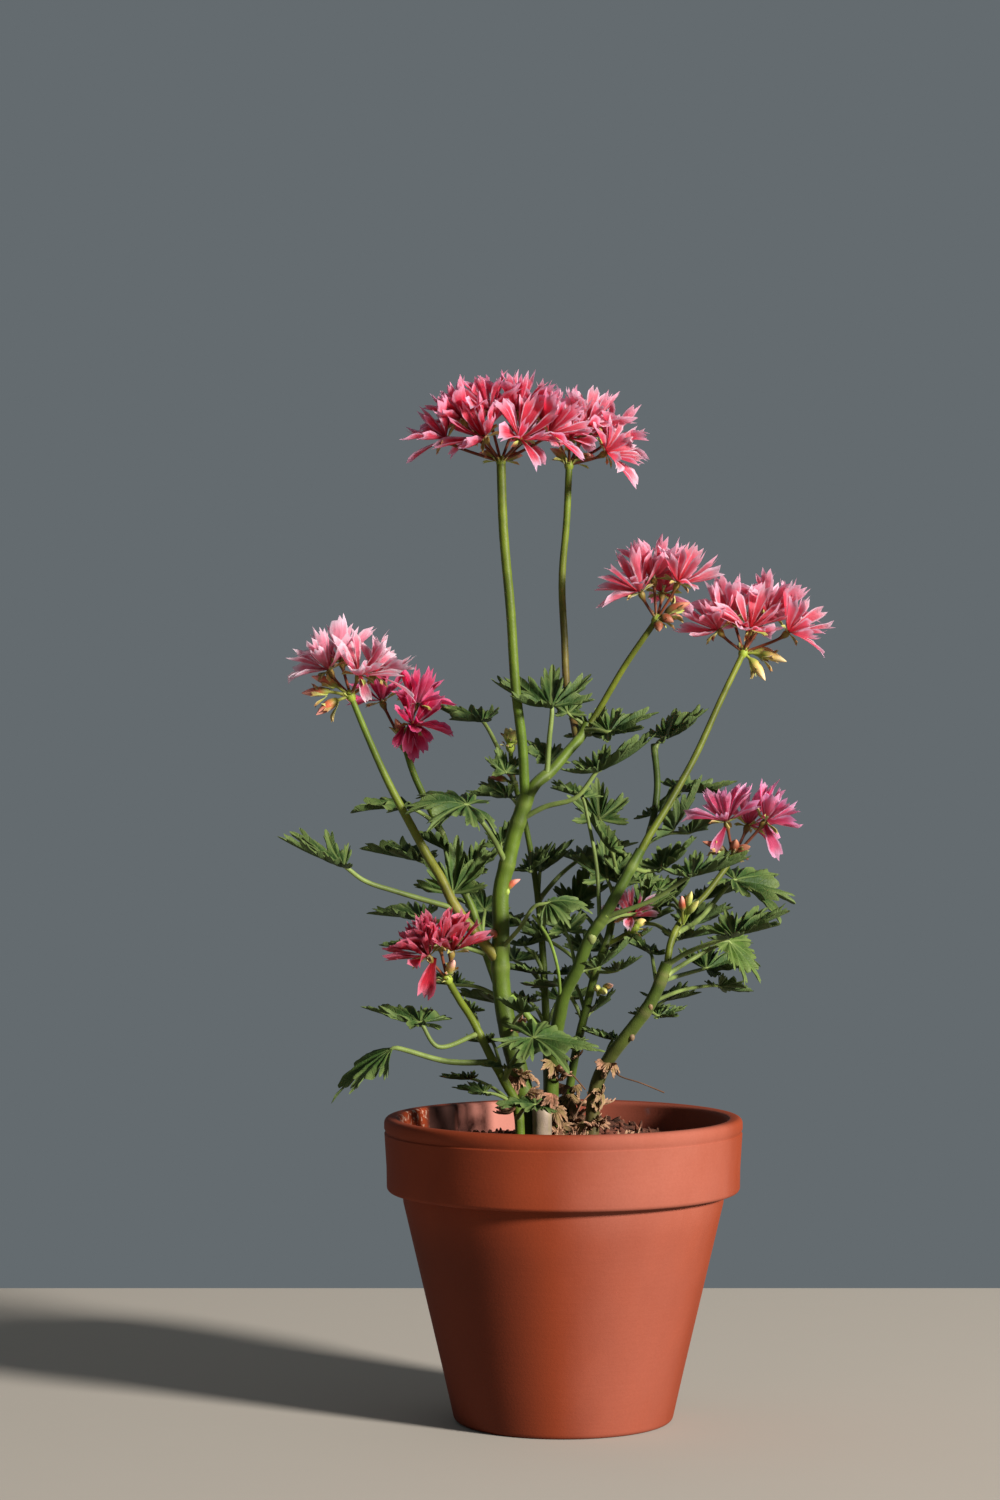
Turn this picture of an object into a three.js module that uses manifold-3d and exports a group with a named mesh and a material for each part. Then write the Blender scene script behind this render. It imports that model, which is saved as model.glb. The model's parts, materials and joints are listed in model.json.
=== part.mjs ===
// Potted geranium with star-shaped leaves and fringed flowers, in a terracotta pot.
// Millimetres, +Z up. The origin is the middle of the pot's foot; the front of the plant faces -Y.
import * as THREE from 'three';
import { mergeVertices } from 'three/addons/utils/BufferGeometryUtils.js';
import Module from 'manifold-3d';

const wasm = await Module();
wasm.setup();

// ---- Driving dimensions --------------------------------------------------------------------
const POT = {
  height: 126.6, rimRadius: 75, bandHeight: 31, bandFootRadius: 73.5, bodyTopRadius: 67.5,
  footRadius: 46, wall: 6.5, floor: 7, holeRadius: 9, turns: 28,
};
const BAND_FOOT = POT.height - POT.bandHeight;   // level of the step under the rim band
const INNER = {               // radii of the pot's inner wall, from the mouth down
  mouth: POT.rimRadius - POT.wall, step: POT.bodyTopRadius - 1.1, neck: POT.bodyTopRadius - 4.5,
  foot: POT.footRadius - POT.wall + 1,
};
const STEP_LEVEL = BAND_FOOT + 4;
const NECK_LEVEL = BAND_FOOT - 6;
const FLOOR_FILLET = 3;
const SOIL = { edgeHeight: 110.5, mound: 2.5, moundRadius: 64, relief: 0.9, rings: [24, 50] };
const GAP = 0.35;             // clearance between neighbouring solids
const FINEST = 0.02;          // edges shorter than this are closed up
const LEAF = {
  thickness: 0.9, plainBelow: 26.5,       // leaves shorter than plainBelow have plainer lobes
  spread: { 5: 220, 7: 262 }, notch: 16,  // degrees from the first lobe to the last, and beyond them
  taper: 0.34, sinus: 0.3, rise: 4, fold: 0.5, unevenBend: 18, unevenLength: [0.92, 1.05],
};
const PETIOLE = { radius: 0.55, perSize: 0.022, sides: 3, steps: 3 };
const PETAL = {
  thickness: 0.7, joint: 2.6, outerRise: 18, innerRise: 44, innerShare: 0.86, fold: 0.25,
  curl: [4, 34], unevenLength: [0.9, 1.04],
};
const PEDICEL_RADII = [0.8, 1.4, 0.4];    // at the head's middle, the calyx and the petals' joint
const CALYX_DEPTH = 4.5;      // from the petals' joint down to the calyx's widest place
const BUD_RADII = [0.7, 1, 2.2, 0.8];
const BUD_ARCH = 1.2;
const RECEPTACLE_RADIUS = 2.6; // where the flower stalks of a head meet
const SEED = 20318;
const DEGREE = Math.PI / 180;

const COLOURS = {
  terracotta: 0xb85a3c, soil: 0x4a342a, shoot: 0x4f7a35, flower: 0xe0526b,
};

// ---- Lobe outlines: points (along, across) as shares of the lobe's length -------------------
const LEAF_LOBE = [[0.7, -0.18], [1, 0.02], [0.74, 0.17]];
const PLAIN_LOBE = [[1, -0.03], [0.74, 0.18]];
const PETAL_LOBE = [[0.84, -0.27], [1, 0.15]];

// ---- Stems: points [x, y, z] from below the soil upwards, and the radius at each end --------
// Every strand with the same node name grows as one plant shoot and is fused with it.
const STRANDS = [
  { node: 'stem_main', radius: [4.6, 3.1], sides: 7,
    path: [[-13, -5, 88], [-14, -5, 124], [-18, -6, 143], [-23, -8, 163], [-26, -9, 184],
      [-26, -10, 205], [-26, -10, 221], [-23, -10, 234], [-20, -10, 246], [-15, -10, 261]] },
  { node: 'stem_main', radius: [4.2, 4], sides: 7, path: [[-10, -12, 88], [-9, -12, 112], [-9, -13, 131]] },
  { node: 'stem_main', radius: [2.6, 1.9], sides: 7,
    path: [[-17, -10, 256], [-12, -9, 265], [-5, -5, 271], [2, 0, 279], [8, 5, 286], [10, 6, 291]] },
  { node: 'stem_main', radius: [2.1, 1.9], sides: 6, head: 'umbel_top',
    path: [[-16, -10, 258], [-17, -12, 280], [-20, -14, 306], [-22, -14, 337], [-25, -13, 371],
      [-26, -12, 399]] },
  { node: 'stem_main', radius: [1.6, 1.5], sides: 6, head: 'umbel_top_back',
    path: [[6, 4, 284], [4, 14, 295], [2, 20, 305], [1, 26, 327], [0, 28, 352], [2, 28, 378],
      [3, 28, 401]] },
  { node: 'stem_main', radius: [1.4, 1.25], sides: 6, head: 'umbel_centre',
    path: [[8, 5, 285], [16, 6, 298], [26, 4, 315], [39, 0, 334]] },
  { node: 'stem_main', radius: [2.4, 1.2], sides: 6, head: 'umbel_left',
    path: [[-25, -9, 190], [-30, -11, 196], [-36, -14, 203], [-45, -16, 215], [-51, -16, 227],
      [-56, -14, 235], [-63, -14, 248], [-72, -16, 265], [-81, -18, 285], [-88, -20, 302]] },
  { node: 'stem_front', radius: [2.3, 1.4], sides: 6, head: 'umbel_low_left',
    path: [[-19, -17, 88], [-19, -17, 131], [-24, -20, 142], [-30, -22, 153], [-34, -22, 161],
      [-38, -23, 169], [-43, -27, 177], [-48, -31, 186]] },
  { node: 'stem_right', radius: [3.6, 2.1], sides: 7,
    path: [[-5, 8, 88], [-5, 7, 134], [-4, 3, 154], [-1.5, -2, 169], [0.5, -5, 178], [5.5, -8, 188],
      [11, -11, 202], [16.5, -12, 210], [22, -12, 220], [27, -11, 229], [32, -9, 238]] },
  { node: 'stem_right', radius: [1.6, 1.25], sides: 6, head: 'umbel_right',
    path: [[29, -10, 232], [35, -8, 243], [42, -4, 254], [55, 6, 276], [67, 16, 301], [77, 24, 321]] },
  { node: 'stem_inner', radius: [2, 1.4], sides: 6,
    path: [[0, 22, 88], [1, 22, 118], [5, 20, 148], [11, 18, 174], [15, 18, 189], [19, 19, 199],
      [23, 23, 216], [28, 27, 229], [36, 32, 240], [41, 40, 262], [40, 48, 282]] },
  { node: 'stem_inner', radius: [1.1, 1], sides: 5, head: 'umbel_low_right',
    path: [[18, 19, 197], [24, 18, 200], [30, 15, 204]] },
  { node: 'stem_outer', radius: [3.3, 2.5], sides: 7,
    path: [[11, 5, 88], [12, 5, 118], [14, 4, 139], [19, 2, 150], [27, -2, 161], [35, -4, 172],
      [40, -5, 182], [43, -6, 191]] },
  { node: 'stem_outer', radius: [1.5, 1.2], sides: 6, head: 'umbel_right_back',
    path: [[43, -6, 189], [45, -3, 200], [50, 2, 209], [60, 8, 219], [72, 16, 234]] },
  { node: 'stem_left_back', radius: [2.1, 1.4], sides: 6, head: 'umbel_left_back',
    path: [[-11, 24, 88], [-13, 25, 122], [-18, 26, 148], [-24, 26, 169], [-33, 26, 195],
      [-39, 26, 214], [-47, 26, 229], [-50, 26, 241], [-56, 28, 254], [-63, 30, 269],
      [-67, 32, 281]] },
  { node: 'stem_back', radius: [2.1, 1], sides: 6, head: 'umbel_young',
    path: [[-6, 36, 88], [-6, 37, 130], [-7, 38, 172], [-10, 40, 215], [-16, 36, 250],
      [-21, 30, 269], [-22, 26, 281]] },
];

// ---- Leaves: petiole points to the blade's foot, blade length, heading (0 = +X, 90 = +Y), ----
// pitch of the midrib, roll about it, lobe count and curl of the lobes' ends, all in degrees. fan is
// the share of the full spread that the lobes take.
const LEAVES = [
  { node: 'stem_main', stalk: [[-7, -7, 268], [-6, -8, 283], [-5, -8, 298]], size: 31, heading: 135,
    pitch: 16, roll: -12, lobes: 7, curl: 25 },
  { node: 'stem_main', stalk: [[-24, -11, 233], [-31, -19, 246], [-40, -24, 257]], size: 30, heading: 195,
    pitch: 8, roll: -22, lobes: 7, curl: -30 },
  { node: 'stem_main', stalk: [[-45, -16, 214], [-68, -22, 221], [-82, -28, 226], [-90, -32, 232]], size: 30,
    heading: 187, pitch: 14, roll: -12, lobes: 7, curl: 30, fan: 0.7 },
  { node: 'stem_main', stalk: [[-44, -16, 214], [-47, -14, 217], [-46, -10, 220]], size: 27, heading: 75,
    pitch: 58, roll: 0, lobes: 5, curl: 30, fan: 0.75 },
  { node: 'stem_main', stalk: [[-19, -10, 250], [-8, -13, 256], [5, -17, 260], [14, -19, 271]], size: 30,
    heading: -15, pitch: 14, roll: 10, lobes: 7, curl: 22 },
  { node: 'stem_main', stalk: [[9, 5, 288], [14, 0, 288], [19, -3, 287]], size: 22, heading: 10, pitch: 18,
    roll: 20, lobes: 5, curl: 15 },
  { node: 'stem_main', stalk: [[9, 6, 290], [5, 5, 293], [2, 4, 295]], size: 12, heading: 110, pitch: 50,
    roll: 0, lobes: 5, curl: 20 },
  { node: 'stem_main', stalk: [[-25, -11, 198], [-18, -27, 207], [-12, -34, 216], [-7, -35, 217]], size: 20,
    heading: -5, pitch: 15, roll: 20, lobes: 5, curl: -75 },
  { node: 'stem_front', stalk: [[-25, -20, 143], [-20, -34, 154], [-13, -46, 163]], size: 30, heading: -10,
    pitch: -8, roll: 14, lobes: 7, curl: -28 },
  { node: 'stem_front', stalk: [[-35, -22, 163], [-52, -28, 158], [-59, -30, 168]], size: 25, heading: 172,
    pitch: 6, roll: -8, lobes: 7, curl: 12 },
  { node: 'stem_front', stalk: [[-29, -22, 151], [-48, -29, 152], [-70, -34, 158]], size: 35, heading: 192,
    pitch: -32, roll: -8, lobes: 5, curl: -30, fan: 0.5 },
  { node: 'stem_front', stalk: [[-19, -18, 128], [-16, -30, 133], [-12, -38, 135]], size: 18, heading: 200,
    pitch: 4, roll: -5, lobes: 5, curl: -10 },
  { node: 'stem_front', stalk: [[-21, -18, 134], [-28, -24, 138], [-33, -27, 139]], size: 13, heading: 180,
    pitch: 5, roll: -15, lobes: 5, curl: 10 },
  { node: 'stem_right', stalk: [[16.5, -12, 210], [37, -20, 218], [52, -26, 228]], size: 27, heading: -8,
    pitch: 4, roll: 6, lobes: 7, curl: 18 },
  { node: 'stem_right', stalk: [[15, -11, 208], [14, -2, 230], [11, 5, 248], [8, 8, 260]], size: 18,
    heading: 150, pitch: 15, roll: 0, lobes: 5, curl: 20 },
  { node: 'stem_right', stalk: [[28, -10, 231], [34, -4, 229], [41, 2, 230]], size: 22, heading: 15,
    pitch: 32, roll: 8, lobes: 5, curl: 15 },
  { node: 'stem_inner', stalk: [[38, 34, 246], [43, 28, 245], [47, 24, 246]], size: 27, heading: -20,
    pitch: 45, roll: 10, lobes: 5, curl: 20 },
  { node: 'stem_inner', stalk: [[22, 22, 213], [21, 20, 220], [19, 20, 225]], size: 21, heading: 100,
    pitch: 58, roll: 0, lobes: 5, curl: 15 },
  { node: 'stem_inner', stalk: [[40, 47, 279], [42, 48, 283], [45, 48, 285]], size: 24, heading: 8,
    pitch: 24, roll: 12, lobes: 5, curl: 15 },
  { node: 'stem_inner', stalk: [[14, 18, 186], [19, 12, 186], [23, 8, 187]], size: 14, heading: -30,
    pitch: 20, roll: 0, lobes: 5, curl: 15 },
  { node: 'stem_inner', stalk: [[36, 33, 241], [46, 44, 254], [52, 50, 262]], size: 25, heading: 15,
    pitch: -5, roll: 8, lobes: 5, curl: 15 },
  { node: 'stem_outer', stalk: [[43, -6, 190], [52, -12, 196], [70, -17, 203]], size: 28, heading: 0,
    pitch: 18, roll: 10, lobes: 7, curl: 20 },
  { node: 'stem_outer', stalk: [[43, -6, 186], [56, 5, 193], [70, 11, 199]], size: 25, heading: 5,
    pitch: -48, roll: 30, lobes: 7, curl: -15, fan: 0.75 },
  { node: 'stem_outer', stalk: [[47, -1, 203], [58, 20, 208], [74, 36, 224]], size: 32, heading: 8,
    pitch: -18, roll: 20, lobes: 7, curl: -15 },
  { node: 'stem_outer', stalk: [[34, -4, 171], [37, 2, 170], [40, 5, 168]], size: 13, heading: 10,
    pitch: 5, roll: 10, lobes: 5, curl: 15 },
  { node: 'stem_outer', stalk: [[40, -5, 183], [50, 22, 184], [62, 38, 186]], size: 26, heading: 30,
    pitch: 5, roll: 15, lobes: 5, curl: 15 },
  { node: 'stem_left_back', stalk: [[-51, 26, 244], [-57, 21, 251], [-64, 17, 255]], size: 26, heading: 190,
    pitch: 0, roll: -5, lobes: 5, curl: -10 },
  { node: 'stem_left_back', stalk: [[-44, 26, 224], [-52, 20, 229], [-60, 14, 233]], size: 29, heading: 182,
    pitch: 6, roll: -6, lobes: 5, curl: 12 },
  { node: 'stem_left_back', stalk: [[-34, 26, 198], [-33, 42, 200], [-28, 48, 203]], size: 26, heading: 115,
    pitch: 5, roll: 0, lobes: 5, curl: 18 },
  { node: 'stem_left_back', stalk: [[-38, 26, 211], [-50, 40, 206], [-60, 46, 207]], size: 25, heading: 175,
    pitch: 0, roll: -10, lobes: 5, curl: 15 },
  { node: 'stem_back', stalk: [[-20, 30, 265], [-27, 36, 280], [-34, 40, 292]], size: 26, heading: 172,
    pitch: 2, roll: -8, lobes: 5, curl: 15 },
  { node: 'stem_back', stalk: [[-18, 34, 255], [-21, 26, 259], [-23, 20, 260]], size: 19, heading: 190,
    pitch: 0, roll: -15, lobes: 5, curl: 10 },
  { node: 'stem_back', stalk: [[-12, 39, 232], [-13, 28, 228], [-14, 18, 229]], size: 16, heading: 20,
    pitch: 30, roll: 0, lobes: 5, curl: 20 },
  { node: 'stem_back', stalk: [[-10, 40, 215], [0, 49, 226], [8, 53, 232]], size: 26, heading: 12,
    pitch: 10, roll: 0, lobes: 5, curl: 18 },
  { node: 'stem_back', stalk: [[-7, 38, 160], [-15, 48, 166], [-22, 53, 169]], size: 26, heading: 170,
    pitch: 5, roll: 0, lobes: 5, curl: 18 },
];

// ---- Flower heads: receptacle, floret centres and bud tips as offsets from it ---------------
const HEADS = {
  umbel_top: { at: [-26, -12, 399], petal: 17.5, petals: 5, lift: 0.5,
    florets: [[-7, -9, 10], [8, -10, 9], [20, -4, 12], [-23, -2, 10], [-16, -2, 18], [-5, -3, 21.5],
      [7, 1, 21.5], [17, 4, 18], [-9, 10, 12], [9, 12, 12]],
    buds: [[-9, 3, 4], [9, 4, 3]] },
  umbel_top_back: { at: [3, 28, 401], petal: 17, petals: 5, lift: 0.45,
    florets: [[16, -6, 5], [17, 7, 12], [8, -3, 17], [0, -9, 11], [-6, 4, 16], [5, 11, 13]],
    buds: [[11, 1, 4], [-8, 0, 7]] },
  umbel_centre: { at: [39, 0, 334], petal: 18, petals: 5, lift: 0.3,
    florets: [[-7, -3, 12], [-1, 3, 18], [9, -3, 16], [3, 9, 12]],
    buds: [[14, -2, 7], [1, -3, -5], [7, -3, -1], [11, 2, 1]] },
  umbel_right: { at: [77, 24, 321], petal: 18, petals: 5, lift: 0.45,
    florets: [[-11, -4, 10], [2, -9, 10], [19, -4, 9], [-4, 4, 16], [10, 3, 17], [5, 11, 12]],
    buds: [[9, -3, -12], [18, -4, -4], [15, 2, -1]] },
  umbel_left: { at: [-88, -20, 302], petal: 17, petals: 5, lift: 0.35,
    florets: [[4, -8, 9], [10, 0, 9], [-9, -1, 11], [-4, 6, 15]],
    buds: [[-16, -3, 8], [-20, -4, 1], [-14, -5, -8]] },
  umbel_left_back: { at: [-67, 32, 281], petal: 15, petals: 5, lift: 0.2,
    florets: [[-10, 0, 20], [5, -3, 19], [4, -6, 10]],
    buds: [[-4, -4, 12]] },
  umbel_right_back: { at: [72, 16, 234], petal: 16, petals: 5, lift: 0.1,
    florets: [[-3, -3, 16], [14, 0, 16], [7, 7, 14]],
    buds: [[-13, -3, 7], [7, -5, 5], [1, -6, 8]] },
  umbel_low_left: { at: [-48, -31, 186], petal: 15, petals: 5, lift: 0.35,
    florets: [[-8, -6, 10], [-3, -4, 15], [2, -3, 12], [-9, 3, 11]],
    buds: [[3, -7, 8]] },
  umbel_low_right: { at: [30, 15, 204], petal: 11, petals: 5, lift: 0.1,
    florets: [[-1, -5, 6]],
    buds: [[6, 4, 3]] },
  umbel_young: { at: [-22, 26, 281], petal: 0, petals: 0, lift: 0,
    florets: [],
    buds: [[2, -4, 7], [-2, -3, 8], [0, 3, 8], [4, 1, 5]] },
};

// ---- Small helpers --------------------------------------------------------------------------
let randomState = SEED;

function random(low, high) {
  randomState = (randomState * 1664525 + 1013904223) % 4294967296;
  return low + (high - low) * randomState / 4294967296;
}

function vector(point) {
  return new THREE.Vector3(...point);
}

function toSolid(geometry) {
  geometry.deleteAttribute('normal');
  geometry.deleteAttribute('uv');
  const merged = mergeVertices(geometry, 1e-4);
  return new wasm.Manifold(new wasm.Mesh({
    numProp: 3,
    vertProperties: Float32Array.from(merged.attributes.position.array),
    triVerts: Uint32Array.from(merged.index.array),
  }));
}

function toMesh(name, solid, colour, roughness) {
  const data = solid.simplify(FINEST).getMesh();
  const geometry = new THREE.BufferGeometry();
  geometry.setAttribute('position', new THREE.BufferAttribute(Float32Array.from(data.vertProperties), 3));
  geometry.setIndex(Array.from(data.triVerts));
  const material = new THREE.MeshStandardMaterial({ color: colour, roughness, metalness: 0 });
  const mesh = new THREE.Mesh(geometry, material);
  mesh.name = name;
  return mesh;
}

function fuse(solids) {
  return wasm.Manifold.union(solids);
}

// ---- Round bodies: tubes that taper along a curve --------------------------------------------
// `profile` gives the radius at a share 0..1 of the way; the ends are closed by flat caps.
function tube(path, profile, steps, sides) {
  const curve = new THREE.CatmullRomCurve3(path.map(vector), false, 'centripetal');
  const frames = curve.computeFrenetFrames(steps);
  const positions = [];
  const faces = [];
  for (let step = 0; step <= steps; step += 1) {
    const share = step / steps;
    const centre = curve.getPointAt(share);
    for (let side = 0; side < sides; side += 1) {
      const turn = 2 * Math.PI * side / sides;
      const arm = frames.normals[step].clone().multiplyScalar(Math.cos(turn));
      arm.addScaledVector(frames.binormals[step], Math.sin(turn));
      positions.push(...centre.clone().addScaledVector(arm, profile(share)).toArray());
    }
  }
  for (let step = 0; step < steps; step += 1) {
    for (let side = 0; side < sides; side += 1) {
      const next = (side + 1) % sides;
      const low = step * sides;
      const high = low + sides;
      faces.push(low + side, low + next, high + next, low + side, high + next, high + side);
    }
  }
  for (let side = 1; side < sides - 1; side += 1) {
    const last = steps * sides;
    faces.push(0, side + 1, side, last, last + side, last + side + 1);
  }
  return closedBody(positions, faces);
}

function closedBody(positions, faces) {
  const geometry = new THREE.BufferGeometry();
  geometry.setAttribute('position', new THREE.Float32BufferAttribute(positions, 3));
  geometry.setIndex(faces);
  return toSolid(geometry);
}

function taper([start, end]) {
  return (share) => start + (end - start) * share;
}

function stepped(radii) {
  return (share) => radii[Math.round(share * (radii.length - 1))];
}

// ---- Thin lobed sheets: leaf blades and rings of petals ---------------------------------------
// A lobe has an angle, a length, a rise at its root and a curl at its tip. The sheet lies in XY
// with its heading along +X, and rises towards +Z.
function sheetPoint(distance, angle, rise, curl, offset) {
  const bend = curl === 0 ? 1e-4 : curl;
  const slope = rise + bend * distance;
  const reach = (Math.sin(slope) - Math.sin(rise)) / bend - offset * Math.sin(slope);
  const height = (Math.cos(rise) - Math.cos(slope)) / bend + offset * Math.cos(slope);
  return [reach * Math.cos(angle), reach * Math.sin(angle), height];
}

function sheetLayer(lobes, outline, closed, offset) {
  const points = [0, 0, closed ? offset / Math.cos(lobes[0].rise) : offset];
  lobes.forEach((lobe, index) => {
    const before = lobes[(index + lobes.length - 1) % lobes.length];
    const start = index > 0 || closed ? joinOf(before, lobe, closed) : { ...lobe, angle: lobe.first };
    points.push(...sheetPoint(lobe.root, start.angle, start.rise, start.curl, offset));
    outline.forEach(([along, across]) => {
      const distance = lobe.length * Math.hypot(along, across);
      const angle = lobe.angle + Math.atan2(across, along);
      const edge = offset + lobe.fold * Math.abs(across) * lobe.length;
      points.push(...sheetPoint(distance, angle, lobe.rise, lobe.curl, edge));
    });
  });
  if (!closed) {
    const lobe = lobes[lobes.length - 1];
    points.push(...sheetPoint(lobe.root, lobe.last, lobe.rise, lobe.curl, offset));
  }
  return points;
}

function joinOf(before, after, closed) {
  const wrap = closed && after.angle < before.angle ? 2 * Math.PI : 0;
  return {
    angle: (before.angle + after.angle + wrap) / 2,
    rise: (before.rise + after.rise) / 2,
    curl: (before.curl + after.curl) / 2,
  };
}

function lobedSheet(lobes, outline, { thickness, closed }) {
  const top = sheetLayer(lobes, outline, closed, thickness / 2);
  const under = sheetLayer(lobes, outline, closed, -thickness / 2);
  const count = top.length / 3;
  const rim = [];
  for (let corner = closed ? 1 : 0; corner < count; corner += 1) {
    rim.push(corner);
  }
  const triangles = [];
  rim.forEach((a, place) => {
    const b = rim[(place + 1) % rim.length];
    if (a > 0 && b > 0) {
      triangles.push(0, a, b, count, count + b, count + a);
    }
    triangles.push(a, count + a, count + b, a, count + b, b);
  });
  return closedBody([...top, ...under], triangles);
}

// Turns a body whose heading is +X and whose upper side is +Z, and moves its origin to a point.
function placed(solid, point, forward, upward) {
  const side = new THREE.Vector3().crossVectors(upward, forward).normalize();
  const up = new THREE.Vector3().crossVectors(forward, side).normalize();
  const matrix = new THREE.Matrix4().makeBasis(forward, side, up).setPosition(...point);
  return solid.transform(matrix.elements);
}

// ---- Leaves -----------------------------------------------------------------------------------
function leafBlade({ size, lobes, curl, fan }) {
  const half = fan * LEAF.spread[lobes] / 2 * DEGREE;
  const edge = half + fan * LEAF.notch * DEGREE;
  const list = [];
  for (let index = 0; index < lobes; index += 1) {
    const side = 2 * index / (lobes - 1) - 1;
    const length = size * (1 - LEAF.taper * Math.abs(side) ** 1.4) * random(...LEAF.unevenLength);
    const bend = (curl + random(-LEAF.unevenBend, LEAF.unevenBend)) * DEGREE;
    list.push({
      angle: side * half, length, root: size * LEAF.sinus, rise: LEAF.rise * DEGREE,
      curl: bend / length, fold: LEAF.fold, first: -edge, last: edge,
    });
  }
  return lobedSheet(list, size < LEAF.plainBelow ? PLAIN_LOBE : LEAF_LOBE, {
    thickness: LEAF.thickness, closed: false,
  });
}

function leaf({ stalk, heading, pitch, roll, size, lobes, curl, fan = 1 }) {
  const flat = new THREE.Vector3(Math.cos(heading * DEGREE), Math.sin(heading * DEGREE), 0);
  const forward = flat.clone().multiplyScalar(Math.cos(pitch * DEGREE)).setZ(Math.sin(pitch * DEGREE));
  const upward = flat.clone().multiplyScalar(-Math.sin(pitch * DEGREE)).setZ(Math.cos(pitch * DEGREE));
  upward.applyAxisAngle(forward, roll * DEGREE);
  const foot = stalk[stalk.length - 1];
  const end = vector(foot).addScaledVector(forward, 1).toArray();
  const blade = placed(leafBlade({ size, lobes, curl, fan }), foot, forward, upward);
  const radius = PETIOLE.radius + size * PETIOLE.perSize;
  const profile = (share) => (share < 1 ? radius * (1.1 - 0.3 * share) : LEAF.thickness * 0.4);
  const petiole = tube([...stalk, end], profile, PETIOLE.steps, PETIOLE.sides);
  return [petiole, blade];
}

// ---- Flowers ----------------------------------------------------------------------------------
function corolla({ petal, petals }) {
  const list = [];
  for (let index = 0; index < petals; index += 1) {
    const inner = index % 2 === 1;
    const length = petal * (inner ? PETAL.innerShare : 1) * random(...PETAL.unevenLength);
    list.push({
      angle: 2 * Math.PI * (index + random(-0.1, 0.1)) / petals, length, root: PETAL.joint,
      rise: (inner ? PETAL.innerRise : PETAL.outerRise) * DEGREE,
      curl: random(...PETAL.curl) * DEGREE / length, fold: PETAL.fold,
    });
  }
  return lobedSheet(list, PETAL_LOBE, { thickness: PETAL.thickness, closed: true });
}

function floret(receptacle, offset, head) {
  const centre = vector(receptacle).add(vector(offset));
  const facing = vector(offset).normalize().add(new THREE.Vector3(0, 0, head.lift)).normalize();
  const turn = random(0, 2 * Math.PI);
  const across = new THREE.Vector3(Math.cos(turn), Math.sin(turn), 0);
  const forward = new THREE.Vector3().crossVectors(facing, across).normalize();
  const petals = placed(corolla(head), centre.toArray(), forward, facing);
  const middle = centre.clone().addScaledVector(facing, -CALYX_DEPTH);
  const tip = centre.clone().addScaledVector(forward, 0.6).addScaledVector(facing, 0.3);
  const pedicel = tube([receptacle, middle.toArray(), tip.toArray()], stepped(PEDICEL_RADII), 2, 3);
  return [petals, pedicel];
}

function bud(receptacle, offset) {
  const tip = vector(receptacle).add(vector(offset));
  const middle = vector(receptacle).addScaledVector(vector(offset), 0.5);
  middle.z += BUD_ARCH;
  return tube([receptacle, middle.toArray(), tip.toArray()], stepped(BUD_RADII), 3, 4);
}

function ball(point, radius) {
  return toSolid(new THREE.IcosahedronGeometry(radius, 0)).translate(point);
}

function flowerHead(head) {
  const parts = [ball(head.at, RECEPTACLE_RADIUS)];
  head.florets.forEach((offset) => parts.push(...floret(head.at, offset, head)));
  head.buds.forEach((offset) => parts.push(bud(head.at, offset)));
  return fuse(parts);
}

// ---- Shoots -----------------------------------------------------------------------------------
function strand({ path, radius, sides }) {
  return tube(path, taper(radius), path.length, sides);
}

function shoot(node) {
  const strands = STRANDS.filter((item) => item.node === node);
  const parts = strands.map(strand);
  LEAVES.filter((item) => item.node === node).forEach((item) => parts.push(...leaf(item)));
  const heads = strands.filter((item) => item.head).map((item) => HEADS[item.head].at);
  const clear = heads.map((at) => ball(at, RECEPTACLE_RADIUS + 2 * GAP));
  return fuse(parts).subtract(fuse(clear));
}

// ---- Pot and soil -----------------------------------------------------------------------------
function potSolid() {
  const { height, rimRadius, bandFootRadius, bodyTopRadius, footRadius, floor, holeRadius } = POT;
  return toSolid(turned([
    [holeRadius, 0], [footRadius - 2.2, 0], [footRadius - 0.6, 0.8], [footRadius, 2.6],
    [bodyTopRadius, BAND_FOOT - 1], [bandFootRadius - 2, BAND_FOOT], [bandFootRadius, BAND_FOOT + 2.4],
    [rimRadius - 0.2, height - 6], [rimRadius - 0.6, height - 0.9], [rimRadius - 2.4, height],
    [INNER.mouth + 1, height - 0.4], [INNER.mouth, height - 2], [INNER.step, STEP_LEVEL],
    [INNER.neck, NECK_LEVEL], [INNER.foot, floor + FLOOR_FILLET], [INNER.foot - FLOOR_FILLET, floor],
    [holeRadius, floor], [holeRadius, 0],
  ]));
}

function turned(profile) {
  const outline = profile.map(([radius, level]) => new THREE.Vector2(radius, level));
  return new THREE.LatheGeometry(outline, POT.turns).rotateX(Math.PI / 2);
}

function soilRelief(x, y) {
  const radius = Math.hypot(x, y);
  const mound = SOIL.mound * (1 - Math.min(1, radius / SOIL.moundRadius) ** 2);
  const ripple = Math.sin(0.31 * x + 0.9) * Math.cos(0.27 * y - 0.4) + 0.6 * Math.sin(0.17 * x - 0.23 * y);
  return mound + SOIL.relief * ripple;
}

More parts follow.
